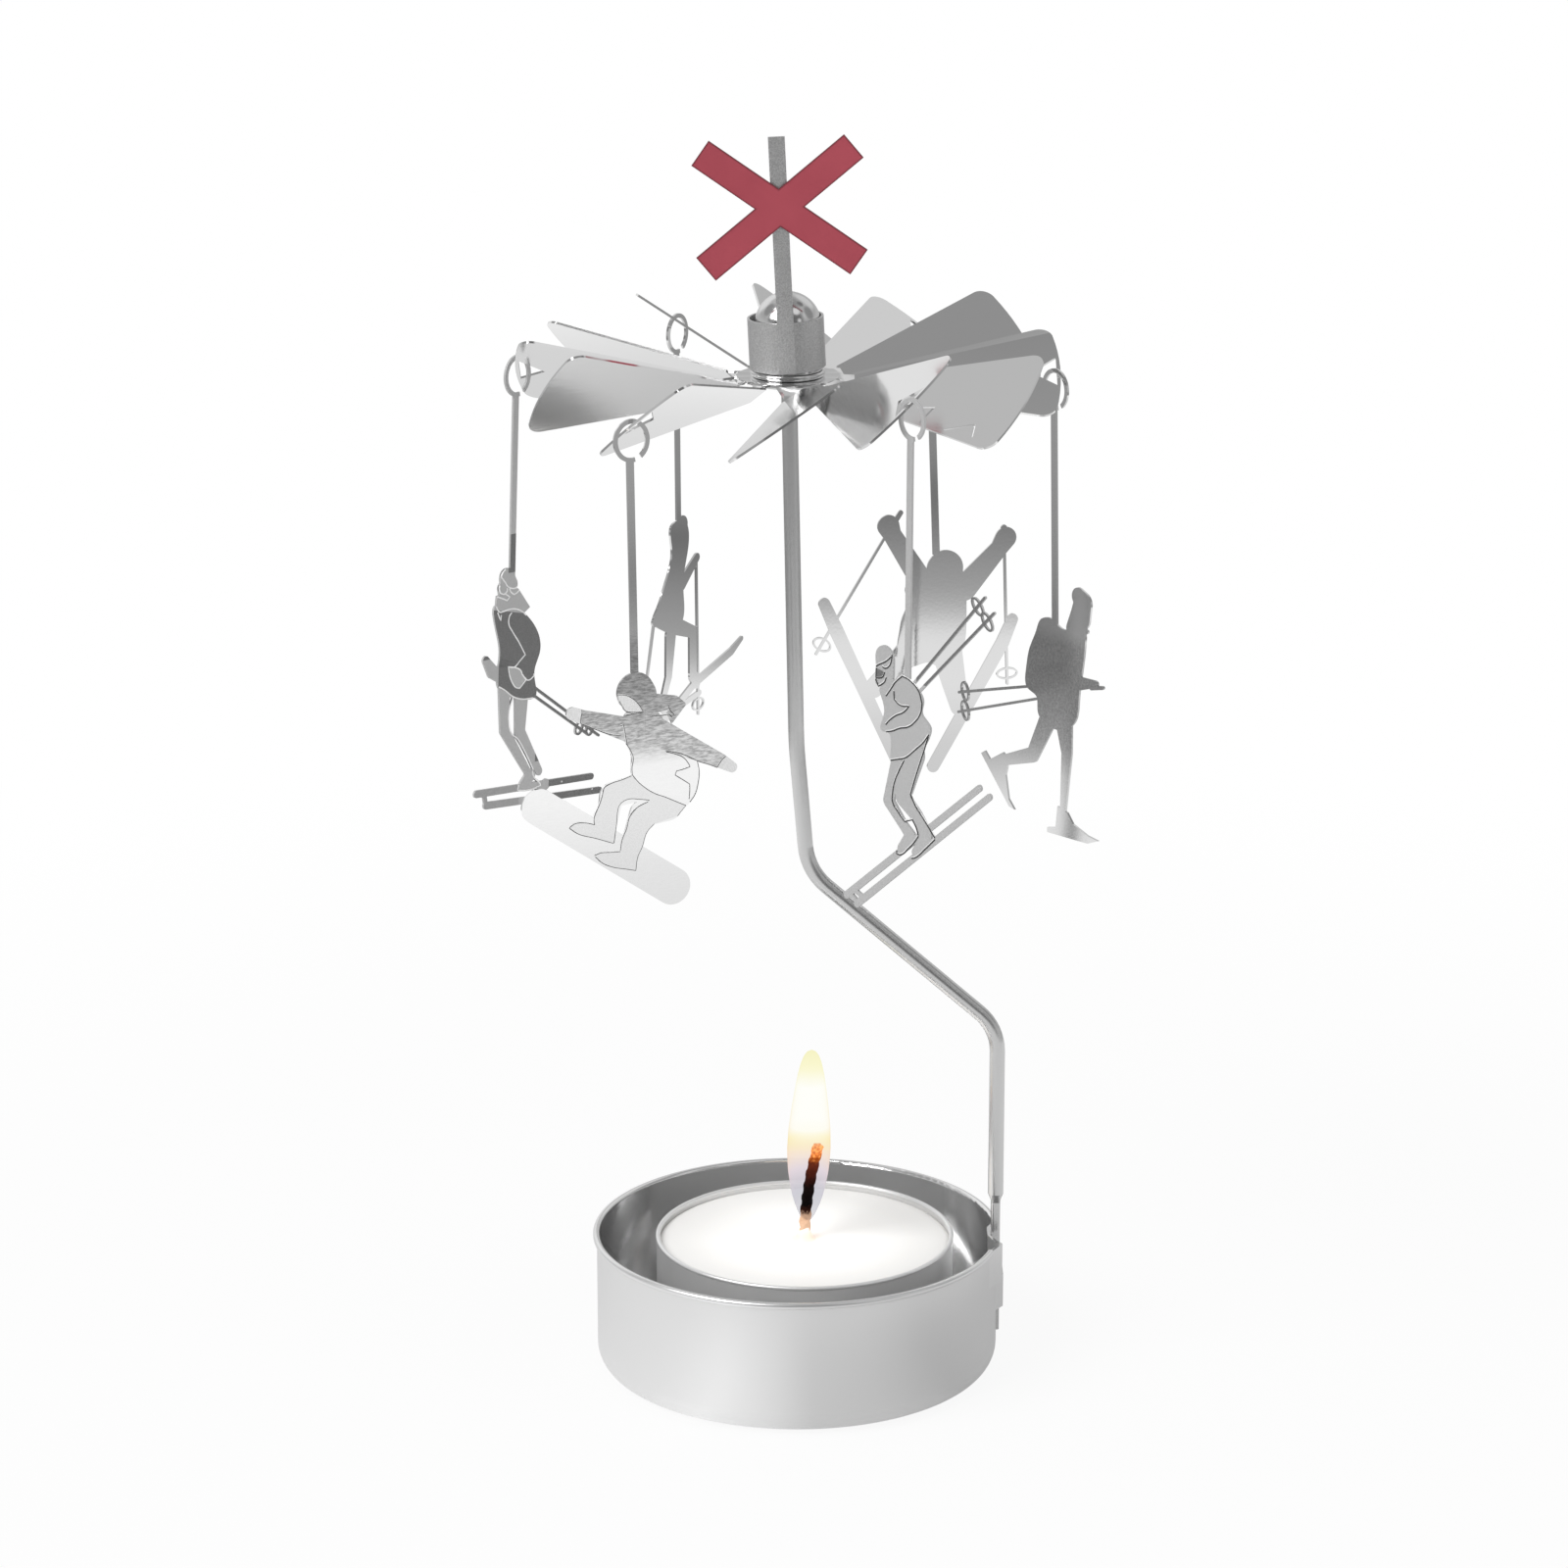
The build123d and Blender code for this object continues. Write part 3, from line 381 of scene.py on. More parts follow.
def makeWax():
    # Painted light: the wax glows as if lit from above by its flame, most round the wick
    material, tree, place = startMaterial("litParaffinWax")
    fromWick = addNode(tree, "ShaderNodeVectorMath",
                       {0: place, 1: (candle["axisX"] * mm, 0, candle["waxTop"] * mm)},
                       operation="DISTANCE")
    glow = addNode(tree, "ShaderNodeMapRange",
                   {"Value": fromWick.outputs["Value"], "From Max": candle["glowReachMm"] * mm,
                    "To Min": candle["waxGlow"], "To Max": candle["edgeGlow"]},
                   interpolation_type="SMOOTHSTEP")
    ripple = addNode(tree, "ShaderNodeTexNoise",
                     {"Vector": place, "Scale": 1 / (candle["rippleMm"] * mm), "Detail": 2.0})
    bump = addNode(tree, "ShaderNodeBump",
                   {"Height": ripple, "Strength": 0.5, "Distance": candle["rippleDepthMm"] * mm})
    share = addNode(tree, "ShaderNodeMath",
                    {0: fromWick.outputs["Value"], 1: candle["colourReachMm"] * mm}, operation="DIVIDE")
    # Painted warm light of the flame round the wick, and painted shade darkening the wax towards its edge
    colour = addNode(tree, "ShaderNodeValToRGB", {"Fac": share},
                     stops=[(0.03, "#F2CDB2"), (0.08, "#FAEEE4"), (0.15, "#FCFBF9"), (0.6, "#F8F7F5"),
                            (0.95, "#EDECEA")])
    shader = addNode(tree, "ShaderNodeBsdfPrincipled",
                     {"Base Color": colour, "Roughness": 0.4, "IOR": 1.44, "Emission Color": colour,
                      "Emission Strength": glow, "Normal": bump})
    return finishMaterial(material, shader)


def makeWick():
    # Charred cotton: black where it stands in the flame, brown above and glowing at the end
    material, tree, place = startMaterial("charredCotton")
    axes = addNode(tree, "ShaderNodeSeparateXYZ", {0: place})
    low, high = (candle["waxTop"] - candle["charSinkMm"]) * mm, candle["wickTop"] * mm
    height = addNode(tree, "ShaderNodeMapRange",
                     {"Value": axes.outputs["Z"], "From Min": low, "From Max": high})
    fibre = addNode(tree, "ShaderNodeTexNoise",
                    {"Vector": place, "Scale": 1 / (candle["fibreMm"] * mm), "Detail": 4.0})
    ragged = addNode(tree, "ShaderNodeMath",
                     {0: fibre, 1: candle["charRagged"], 2: -candle["charRagged"] / 2},
                     operation="MULTIPLY_ADD")
    level = addNode(tree, "ShaderNodeMath", {0: height, 1: ragged}, operation="ADD")
    char = addNode(tree, "ShaderNodeValToRGB", {"Fac": level},
                   stops=[(0.0, "#F0CCB0"), (0.27, "#E8BC9A"), (0.33, "#3A1A10"), (0.39, "#080505"),
                          (0.58, "#160906"), (0.68, "#40180F"), (0.82, "#6A2E1C"), (0.9, "#C06020")])
    ember = addNode(tree, "ShaderNodeMapRange",
                    {"Value": level, "From Min": candle["emberFrom"], "From Max": candle["emberTo"],
                     "To Max": candle["emberGlow"]}, interpolation_type="SMOOTHSTEP")
    spots = addNode(tree, "ShaderNodeValToRGB", {"Fac": fibre},
                    stops=[(0.4, "#8A3A10"), (0.5, "#D67A26"), (0.62, "#F7B466")])
    bump = addNode(tree, "ShaderNodeBump",
                   {"Height": fibre, "Strength": 0.8, "Distance": candle["fibreDepthMm"] * mm})
    shader = addNode(tree, "ShaderNodeBsdfPrincipled",
                     {"Base Color": char, "Roughness": 0.9, "Specular IOR Level": 0.1,
                      "Emission Color": spots, "Emission Strength": ember, "Normal": bump})
    return finishMaterial(material, shader)


def makeFlameGlow():
    # Burning wax vapour: bluish and nearly clear at the foot, orange round the wick, and yellow-white
    # above, with a deeper rim where one looks along the skin. The near skin is clear round the wick,
    # so the wick stays dark before the far one.
    material, tree, place = startMaterial("burningVapour")
    axes = addNode(tree, "ShaderNodeSeparateXYZ", {0: place})
    height = addNode(tree, "ShaderNodeMapRange",
                     {"Value": axes.outputs["Z"], "From Min": flame["base"] * mm,
                      "From Max": (flame["base"] + flame["height"]) * mm})
    core = addNode(tree, "ShaderNodeValToRGB", {"Fac": height},
                   stops=[(0.0, "#B4B4BE"), (0.14, "#C8C7D1"), (0.26, "#E8DDE4"), (0.36, "#F8E6D2"),
                          (0.46, "#FCF2C0"), (0.56, "#FFFFFA"), (0.8, "#FFFFFA"), (0.9, "#FBF8D2"),
                          (1.0, "#F6F3C4")])
    rim = addNode(tree, "ShaderNodeValToRGB", {"Fac": height},
                  stops=[(0.0, "#B0ADBE"), (0.14, "#C6C2D0"), (0.26, "#E6CFD0"), (0.36, "#F0CBB4"),
                         (0.46, "#F4D6A8"), (0.6, "#F6E4AE"), (0.8, "#F6F0B4"), (1.0, "#F0ECB4")])
    facing = addNode(tree, "ShaderNodeLayerWeight", {"Blend": flame["rimBlend"]})
    skin = addNode(tree, "ShaderNodeMath", {0: facing.outputs["Facing"], 1: flame["rimPower"]},
                   operation="POWER")
    colour = addNode(tree, "ShaderNodeMix", {0: skin, 6: core, 7: rim}, data_type="RGBA")
    nearDensity = addNode(tree, "ShaderNodeValToRGB", {"Fac": height},
                          stops=[(0.0, 0.0), (0.4, 0.0), (0.47, 0.2), (0.56, 0.8), (1.0, 0.85)])
    farDensity = addNode(tree, "ShaderNodeValToRGB", {"Fac": height},
                         stops=[(0.0, 0.55), (0.14, 0.85), (0.3, 0.96), (1.0, 0.96)])
    side = addNode(tree, "ShaderNodeNewGeometry").outputs["Backfacing"]
    density = addNode(tree, "ShaderNodeMix", {0: side, 6: nearDensity, 7: farDensity}, data_type="RGBA")
    light = addNode(tree, "ShaderNodeEmission", {"Color": colour.outputs[2]})
    clear = addNode(tree, "ShaderNodeBsdfTransparent")
    mix = addNode(tree, "ShaderNodeMixShader", {0: density.outputs[2], 1: clear, 2: light})
    return finishMaterial(material, mix)


def readProfile(points, share):
    # A straight reading between listed points
    for (low, before), (high, after) in zip(points, points[1:]):
        if share <= high:
            return before + (after - before) * (share - low) / (high - low)
    return points[-1][1]


def spinForm(centre, levels, sides):
    # Rings of points round a leaning centre line, closed at the foot and the top
    vertices, faces = [], []
    for level, (height, radius) in enumerate(levels):
        for side in range(sides):
            turn = 2 * math.pi * side / sides
            vertices.append((centre(height) + radius * math.cos(turn), radius * math.sin(turn), height))
        if level:
            for side in range(sides):
                after = (side + 1) % sides
                low, high = (level - 1) * sides, level * sides
                faces.append((low + side, low + after, high + after, high + side))
    faces.append(list(range(sides - 1, -1, -1)))
    faces.append([(len(levels) - 1) * sides + side for side in range(sides)])
    return vertices, faces


def makeFlame():
    # The flame's skin, with its rings closer together at the foot and the tip
    rings = flame["rings"]
    levels = []
    for ring in range(rings + 1):
        share = 0.5 - 0.5 * math.cos(math.pi * ring / rings)
        radius = max(readProfile(flame["profile"], share), flame["leastRadiusMm"])
        levels.append(((flame["base"] + share * flame["height"]) * mm, radius * mm))

    def centre(height):
        share = (height / mm - flame["base"]) / flame["height"]
        return (flame["baseX"] + (flame["tipX"] - flame["baseX"]) * share) * mm

    vertices, faces = spinForm(centre, levels, flame["sides"])
    return addPiece("flame", vertices, faces, "tealight_body", makeFlameGlow())


def makeMeniscus(waxMaterial):
    # Melted wax climbs the wick in a small hollow cone
    levels = []
    rings, wide, narrow = candle["meniscusRings"], candle["meniscusRadiusMm"], candle["wickRadiusMm"]
    for ring in range(rings + 1):
        share = ring / rings
        rise = candle["meniscusHeightMm"] * share ** candle["meniscusBend"]
        height = candle["waxTop"] - candle["meniscusSinkMm"] + rise
        levels.append((height * mm, (narrow + (wide - narrow) * (1 - share)) * mm))
    vertices, faces = spinForm(lambda height: candle["axisX"] * mm, levels, candle["meniscusSides"])
    return addPiece("waxMeniscus", vertices, faces, "tealight_body", waxMaterial)


def makeWickStrands(material):
    # Plied cotton: strands twisted round the wick's bent middle line, with a ragged surface
    inputs = dict.fromkeys(("Strand radius", "Raggedness", "Grain"), "NodeSocketFloat")
    tree, sockets, group = startTree("pliedCotton", inputs)
    finer = addNode(tree, "GeometryNodeResampleCurve",
                    {"Curve": group.outputs["Geometry"], "Count": candle["strandPoints"]})
    profile = addNode(tree, "GeometryNodeCurvePrimitiveCircle",
                      {"Resolution": candle["strandSides"], "Radius": group.outputs["Strand radius"]})
    tube = addNode(tree, "GeometryNodeCurveToMesh",
                   {"Curve": finer, "Fill Caps": True, "Profile Curve": profile})
    fibre = addNode(tree, "ShaderNodeTexNoise", {"Detail": 2.0, "Scale": group.outputs["Grain"]})
    middle = addNode(tree, "ShaderNodeMath", {0: fibre, 1: 0.5}, operation="SUBTRACT")
    height = addNode(tree, "ShaderNodeMath", {0: middle, 1: group.outputs["Raggedness"]},
                     operation="MULTIPLY")
    normal = addNode(tree, "GeometryNodeInputNormal")
    push = addNode(tree, "ShaderNodeVectorMath", {0: normal, "Scale": height}, operation="SCALE")
    ragged = addNode(tree, "GeometryNodeSetPosition", {"Geometry": tube, "Offset": push})
    real = addNode(tree, "GeometryNodeRealizeInstances", {"Geometry": ragged})
    dressed = addNode(tree, "GeometryNodeSetMaterial", {"Geometry": real, "Material": material})
    addNode(tree, "NodeGroupOutput", {"Geometry": dressed})

    curve = bpy.data.curves.new("wickStrandsRoute", "CURVE")
    curve.dimensions = "3D"
    steps = candle["strandSteps"]
    for strand in range(candle["strands"]):
        spline = curve.splines.new("POLY")
        spline.points.add(steps)
        for step, point in enumerate(spline.points):
            share = step / steps
            turn = 2 * math.pi * (strand / candle["strands"] + share * candle["strandTurns"])
            middleX = candle["axisX"] + (candle["wickTopX"] - candle["axisX"]) * share ** 2
            height = candle["waxTop"] + (candle["wickTop"] - candle["waxTop"]) * share
            point.co = ((middleX + candle["strandOffMm"] * math.cos(turn)) * mm,
                        candle["strandOffMm"] * math.sin(turn) * mm, height * mm, 1.0)
    mesh = growMesh("wickStrands", curve, tree, sockets,
                    {"Strand radius": candle["strandMm"] * mm, "Raggedness": candle["raggedMm"] * mm,
                     "Grain": 1 / (candle["raggedGrainMm"] * mm)})
    return placePiece("wickStrands", mesh, "tealight_body")


waxMaterial = makeWax()
wickMaterial = makeWick()
dress(nodes["tealight_wax"], waxMaterial)
dress(nodes["wick"], wickMaterial)
makeWickStrands(wickMaterial)
makeMeniscus(waxMaterial)
makeFlame()
print("candle is lit")


# Etched drawing on the figures that face the viewer. Points are millimetres across and up from the
# foot of the figure's rod, in the plane of its sheet and before the figure leans.

figureSheet = 0.3
drawing = {"sides": 10, "curveSteps": 5, "cornerDeg": 50, "liftMm": 0.015, "patchLiftMm": 0.03,
           "letInMm": 0.02, "insideMm": 0.08, "outsideMm": 0.02, "frontFacing": 0.9}
figures = {
    "standing_skier": {"joint": "skier_swing", "body": "skier_body", "rodMm": 25.2, "leanDeg": -2.96},
    "snowboarder": {"joint": "snowboarder_swing", "body": "snowboarder_body", "rodMm": 28.7,
                    "leanDeg": 0.82},
    "downhill_racer": {"joint": "racer_swing", "body": "racer_body", "rodMm": 31.7, "leanDeg": -0.42},
}
# A ridge is a pale line of painted highlight with a darker foot of painted shade, and a groove is a dark
# line, partly its own etched tone and partly painted shade, with a paler edge of painted highlight
# beside it. The edge is moved across, up and into the sheet.
ridge = {"lineMm": 0.10, "edgeMm": 0.15, "edgeShiftMm": (0.0, 0.0, -0.115)}
deepGroove = {"lineMm": 0.095, "edgeMm": 0.12, "edgeShiftMm": (-0.09, 0.09, -0.085)}
fineGroove = {"lineMm": 0.05, "edgeMm": 0.08, "edgeShiftMm": (-0.06, 0.06, -0.055)}
skierLines = {
    "hatTop": ((-3.3, 0.3), (-3.1, 0.9), (-2.4, 1.2), (-1.8, 1.2)),
    "hatBrim": ((-3.1, 0.1), (-1.6, -0.8), (-1.1, -1.4), (-0.1, -1.8), (0.5, -1.8), (0.9, -1.7)),
    "earFlap": ((-0.8, -1.7), (-0.5, -2.2), (0.1, -2.6), (0.7, -2.4), (1.1, -2.1)),
    "goggles": ((-3.1, -0.8), (-3.0, -1.4), (-2.4, -2.1), (-1.7, -2.3), (-1.2, -2.0), (-1.2, -1.6)),
    "chin": ((-3.0, -2.3), (-2.1, -2.8), (-1.2, -3.2), (-0.7, -2.8), (-1.5, -2.3)),
    "scarf": ((-3.2, -3.7), (-2.5, -4.5), (-1.8, -4.5), (-0.7, -4.4), (0.4, -4.5), (1.8, -5.1),
        (2.5, -5.4)),
    "collar": ((-2.9, -4.5), (-2.3, -5.6), (-2.2, -4.9)),
    "sleeve": ((-0.3, -4.9), (-0.7, -5.3), (-0.8, -6.2), (-0.1, -7.3), (1.1, -8.8), (2.4, -10.7),
        (1.5, -11.3), (0.4, -12.0), (-0.7, -11.8)),
    "glove": ((-0.7, -11.8), (0.6, -12.1), (1.6, -12.6), (2.0, -13.3), (2.7, -13.9), (2.4, -14.2),
        (1.5, -14.9), (0.8, -14.7), (0.2, -14.1), (-0.4, -13.0), (-0.7, -11.8)),
    "cuff": ((2.0, -13.2), (2.6, -13.9), (3.3, -14.1), (4.1, -13.7), (4.3, -13.4)),
    "hem": ((-2.4, -14.1), (-1.3, -14.7), (0.3, -15.8), (2.0, -16.4), (4.1, -16.8)),
    "legSplit": ((0.3, -15.9), (0.2, -17.5), (0.1, -18.8), (0.2, -20.3), (1.3, -21.6), (2.9, -23.8),
        (4.4, -26.0)),
    "boot": ((4.2, -26.1), (4.8, -27.2), (5.7, -28.0), (5.8, -28.3), (4.5, -28.6), (4.3, -29.1)),
    "backBoot": ((1.7, -27.5), (1.5, -28.2), (3.4, -28.5), (5.1, -28.5)),
    "frontRivet": ((9.7, -28.5), (9.9, -28.5)),
    "backRivet": ((15.6, -30.5), (15.8, -30.5)),
}
snowboarderLines = {
    "goggles": ((-2.9, -2.5), (-2.3, -2.5), (-1.4, -2.7), (-0.5, -3.3), (0.2, -4.1), (0.7, -5.0),
        (-0.6, -4.9), (-1.6, -4.6), (-2.2, -4.0), (-2.7, -3.3)),
    "chin": ((-1.9, -4.9), (-0.8, -5.1), (0.7, -5.1)),
    "hairLow": ((1.8, -5.7), (2.9, -5.8), (4.2, -5.8), (4.5, -6.2)),
    "hairTie": ((4.0, -4.6), (4.3, -5.3), (4.8, -5.9)),
    "leftCuff": ((-7.3, -4.1), (-7.5, -5.0), (-7.6, -5.5)),
    "leftArm": ((-7.6, -5.7), (-5.8, -6.5), (-3.6, -7.3), (-2.3, -7.6)),
    "armpit": ((-2.3, -6.4), (-1.9, -6.3), (-1.7, -7.5), (-1.5, -8.8)),
    "torsoLeft": ((-1.6, -8.7), (-1.3, -9.8), (-0.7, -10.7), (-0.9, -11.9), (-1.0, -12.8)),
    "hem": ((-1.0, -12.8), (-0.2, -13.7), (0.6, -14.5), (1.9, -15.6), (3.4, -16.2), (4.7, -16.9),
        (6.2, -17.8)),
    "rightArm": ((3.6, -10.4), (4.6, -10.6), (6.1, -11.2), (7.8, -12.2), (9.4, -12.9), (10.4, -13.4)),
    "rightCuff": ((11.8, -11.9), (11.1, -12.5), (10.4, -13.4)),
    "coatFold": ((3.7, -10.5), (4.8, -10.9), (5.9, -11.5), (6.5, -12.2), (6.8, -12.8), (5.9, -13.0),
        (5.0, -13.1), (4.8, -13.6), (5.9, -14.4), (6.7, -15.0), (6.7, -15.8), (6.6, -16.9)),
    "torsoRight": ((7.8, -12.3), (8.0, -13.6), (7.8, -15.2), (7.4, -16.4), (6.7, -17.3)),
    "seat": ((6.2, -17.9), (5.7, -18.6), (5.3, -19.2)),
    "thigh": ((-1.0, -12.9), (-2.4, -12.8), (-3.7, -13.1), (-4.6, -13.9), (-4.9, -14.9), (-5.5, -15.8),
        (-5.9, -17.4), (-6.0, -18.4)),
    "innerLeg": ((1.3, -16.3), (0.0, -16.0), (-1.6, -15.8), (-2.6, -16.3), (-2.9, -17.0), (-3.1, -18.6),
        (-3.5, -21.1)),
    "boot": ((-9.3, -18.4), (-8.1, -19.3), (-6.0, -20.1), (-3.6, -21.1)),
    "bootTop": ((-9.3, -18.3), (-8.5, -17.9), (-7.2, -18.0), (-6.0, -18.4)),
    "shin": ((1.9, -19.6), (1.2, -20.5), (0.3, -22.0), (-0.4, -23.3), (-0.7, -25.0)),
    "calf": ((1.1, -16.5), (-0.3, -17.0), (-1.6, -18.0), (-2.1, -19.4), (-2.4, -20.8), (-2.7, -22.2)),
    "backBoot": ((-6.0, -22.5), (-5.1, -23.4), (-3.8, -24.1), (-2.1, -24.6), (-0.7, -25.0)),
    "backBootTop": ((-6.1, -22.3), (-5.3, -22.1), (-4.0, -22.2), (-2.7, -22.3)),
}
racerLines = {
    "capEdge": ((-6.9, 0.0), (-5.6, 0.3), (-4.1, 1.1), (-3.0, 2.0), (-2.6, 2.4)),
    "strap": ((-4.7, 0.3), (-4.2, 0.2), (-3.3, 0.9), (-2.4, 2.2)),
    "goggles": ((-6.7, -0.2), (-6.5, -1.0), (-5.7, -1.3), (-4.7, -1.0), (-4.3, -0.3)),
    "jaw": ((-6.4, -1.4), (-5.4, -2.3), (-4.3, -1.5), (-4.0, -0.9)),
    "collar": ((-1.1, -0.1), (-2.4, -1.2), (-3.1, -2.1), (-4.0, -3.2)),
    "jacketBack": ((-1.1, -0.1), (0.4, -0.3), (1.8, -1.2), (2.7, -2.7)),
    "innerArm": ((-2.6, -2.3), (-2.5, -3.3), (-1.5, -3.8), (0.2, -3.6), (-0.7, -4.5), (-2.2, -5.3),
        (-3.3, -6.1), (-4.0, -6.8)),
    "sleeve": ((2.7, -2.7), (2.3, -4.0), (1.2, -5.4), (0.1, -6.2), (-1.4, -6.7), (-2.9, -7.4),
        (-3.9, -7.7)),
    "hem": ((-3.0, -11.1), (-1.5, -10.6), (-0.4, -10.2), (1.4, -8.8), (2.9, -7.5), (4.0, -6.4)),
    "legSplit": ((-0.6, -10.6), (-1.5, -12.1), (-2.3, -13.7), (-2.6, -15.0), (-2.6, -16.3), (-1.6, -17.3),
        (-0.2, -18.1), (0.8, -18.2), (1.4, -18.8), (2.2, -19.4)),
    "boot": ((2.2, -19.5), (1.5, -20.4), (0.4, -21.5), (-0.9, -22.6), (-1.7, -22.7), (-1.9, -22.1)),
    "frontBoot": ((5.2, -19.2), (3.6, -20.7), (1.6, -22.4), (1.0, -22.6)),
    "legBack": ((4.0, -6.7), (3.0, -9.0), (1.6, -12.0), (0.8, -14.6), (1.8, -15.6), (3.2, -16.2),
        (5.2, -19.0)),
}


def makeSheet(node):
    # Where a figure's drawing lies: the foot of its rod, the directions across and up its leaning
    # sheet, out towards the viewer, and its front face as a form to search
    figure = figures[node]
    joint = joints[figure["joint"]]
    out = Vector(joint["axis"]).normalized()
    level = Vector((-out.y, out.x, 0))
    upright = Vector((0, 0, 1))
    lean = math.radians(figure["leanDeg"])
    across = level * math.cos(lean) + upright * math.sin(lean)
    up = upright * math.cos(lean) - level * math.sin(lean)
    form = bmesh.new()
    form.from_mesh(nodes[node].data)
    bmesh.ops.remove_doubles(form, verts=form.verts, dist=10 * weld)
    form.normal_update()
    behind = [face for face in form.faces if face.normal.dot(out) < drawing["frontFacing"]]
    bmesh.ops.delete(form, geom=behind, context="FACES")
    foot = Vector(joint["pos_m"]) - up * figure["rodMm"] * mm
    return {"node": node, "body": figure["body"], "foot": foot, "across": across, "up": up, "out": out,
            "front": form, "search": BVHTree.FromBMesh(form)}


def onSheet(sheet, point):
    # A point that falls beside the figure's outline is drawn back inside it
    x, y = point
    place = sheet["foot"] + (x * sheet["across"] + y * sheet["up"] + figureSheet / 2 * sheet["out"]) * mm
    nearest = sheet["search"].find_nearest(place)[0]
    if (nearest - place).length < drawing["outsideMm"] * mm:
        return place
    return nearest + (nearest - place).normalized() * drawing["insideMm"] * mm


def makeLineTree(name, lineMaterial, edgeMaterial):
    # A thin line with an edge of another tone beside or under it, laid along every stroke: the pale one
    # of the two is a painted highlight, and the dark one holds painted shade
    inputs = {"Line radius": "NodeSocketFloat", "Edge radius": "NodeSocketFloat",
              "Edge shift": "NodeSocketVector", "Sides": "NodeSocketInt"}
    tree, sockets, group = startTree(name, inputs)
    shifted = addNode(tree, "GeometryNodeTransform",
                      {"Geometry": group.outputs["Geometry"], "Translation": group.outputs["Edge shift"]})
    join = addNode(tree, "GeometryNodeJoinGeometry")
    for route, radius, finish in ((group.outputs["Geometry"], "Line radius", lineMaterial),
                                  (shifted, "Edge radius", edgeMaterial)):
        profile = addNode(tree, "GeometryNodeCurvePrimitiveCircle",
                          {"Resolution": group.outputs["Sides"], "Radius": group.outputs[radius]})
        tube = addNode(tree, "GeometryNodeCurveToMesh",
                       {"Curve": route, "Fill Caps": True, "Profile Curve": profile})
        real = addNode(tree, "GeometryNodeRealizeInstances", {"Geometry": tube})
        dressed = addNode(tree, "GeometryNodeSetMaterial", {"Geometry": real, "Material": finish})
        tree.links.new(dressed.outputs[0], join.inputs[0])
    addNode(tree, "NodeGroupOutput", {"Geometry": join})
    return tree, sockets


def makeLines(name, sheet, strokes, style, lineTree):
    # A figure's strokes as curves that bend softly, and break only at sharp corners
    tree, sockets = lineTree
    curve = bpy.data.curves.new(name + "Route", "CURVE")
    curve.dimensions = "3D"
    curve.resolution_u = drawing["curveSteps"]
    for points in strokes.values():
        closed = points[0] == points[-1]
        places = [onSheet(sheet, point) for point in (points[:-1] if closed else points)]
        spline = curve.splines.new("BEZIER")
        spline.bezier_points.add(len(places) - 1)
        spline.use_cyclic_u = closed
        for index, (bezier, place) in enumerate(zip(spline.bezier_points, places)):
            bezier.co = place
            before, after = places[index - 1], places[(index + 1) % len(places)]
            bend = (place - before).angle(after - place, 0.0)
            sharp = (closed or 0 < index < len(places) - 1) and bend > math.radians(drawing["cornerDeg"])
            bezier.handle_left_type = bezier.handle_right_type = "VECTOR" if sharp else "AUTO"
    aside, upwards, outwards = style["edgeShiftMm"]
    shift = (aside * sheet["across"] + upwards * sheet["up"] + outwards * sheet["out"]) * mm
    mesh = growMesh(name, curve, tree, sockets,
                    {"Line radius": style["lineMm"] * mm, "Edge radius": style["edgeMm"] * mm,
                     "Edge shift": list(shift), "Sides": drawing["sides"]})
    return placePiece(name, mesh, sheet["body"])


def makeCoat(name, sheet, form, topMm, material):
    # Faces that lie on the sheet become a thin closed coat, let a little into it
    grown = bmesh.ops.extrude_face_region(form, geom=form.faces[:], use_keep_orig=True)
    top = {part for part in grown["geom"] if isinstance(part, bmesh.types.BMVert)}
    for vertex in form.verts:
        vertex.co += sheet["out"] * (topMm if vertex in top else -drawing["letInMm"]) * mm
    bmesh.ops.recalc_face_normals(form, faces=form.faces)
    mesh = bpy.data.meshes.new(name)
    form.to_mesh(mesh)
    form.free()
    mesh.materials.clear()
    mesh.materials.append(material)
    return placePiece(name, mesh, sheet["body"])


def makeZone(name, sheet, cuts, material):
    # A zone of the sheet's front face, cut out by lines. Each keeps what lies on its left.
    form = sheet["front"].copy()
    for cut in cuts:
        first, last = (sheet["foot"] + (x * sheet["across"] + y * sheet["up"]) * mm for x, y in cut)
        bmesh.ops.bisect_plane(form, geom=form.verts[:] + form.edges[:] + form.faces[:], dist=weld,
                               plane_co=first, plane_no=sheet["out"].cross(last - first),
                               clear_inner=True)
    return makeCoat(name, sheet, form, drawing["liftMm"], material)


def makePatch(name, sheet, outline, material):
    # A flat patch inside the figure, bounded by strokes of its drawing
    form = bmesh.new()
    form.faces.new([form.verts.new(onSheet(sheet, point)) for point in outline])
    return makeCoat(name, sheet, form, drawing["patchLiftMm"], material)


paintedHighlight = {"grainMm": 1.111, "metallic": 0.25, "roughness": 0.3}


def makePaintedHighlight():
    # A painted highlight: where the acid left the tin standing, its edge is coloured near white, so it
    # looks lit whichever way it faces
    material, tree, place = startMaterial("paintedHighlightEdge")
    grain = addNode(tree, "ShaderNodeTexNoise",
                    {"Vector": place, "Scale": 1 / (paintedHighlight["grainMm"] * mm), "Detail": 2.0})
    shade = addNode(tree, "ShaderNodeValToRGB", {"Fac": grain},
                    stops=[(0.35, "#F2F2F2"), (0.65, "#FFFFFF")])
    shader = addNode(tree, "ShaderNodeBsdfPrincipled",
                     {"Base Color": shade, "Metallic": paintedHighlight["metallic"],
                      "Roughness": paintedHighlight["roughness"]})
    return finishMaterial(material, shader)


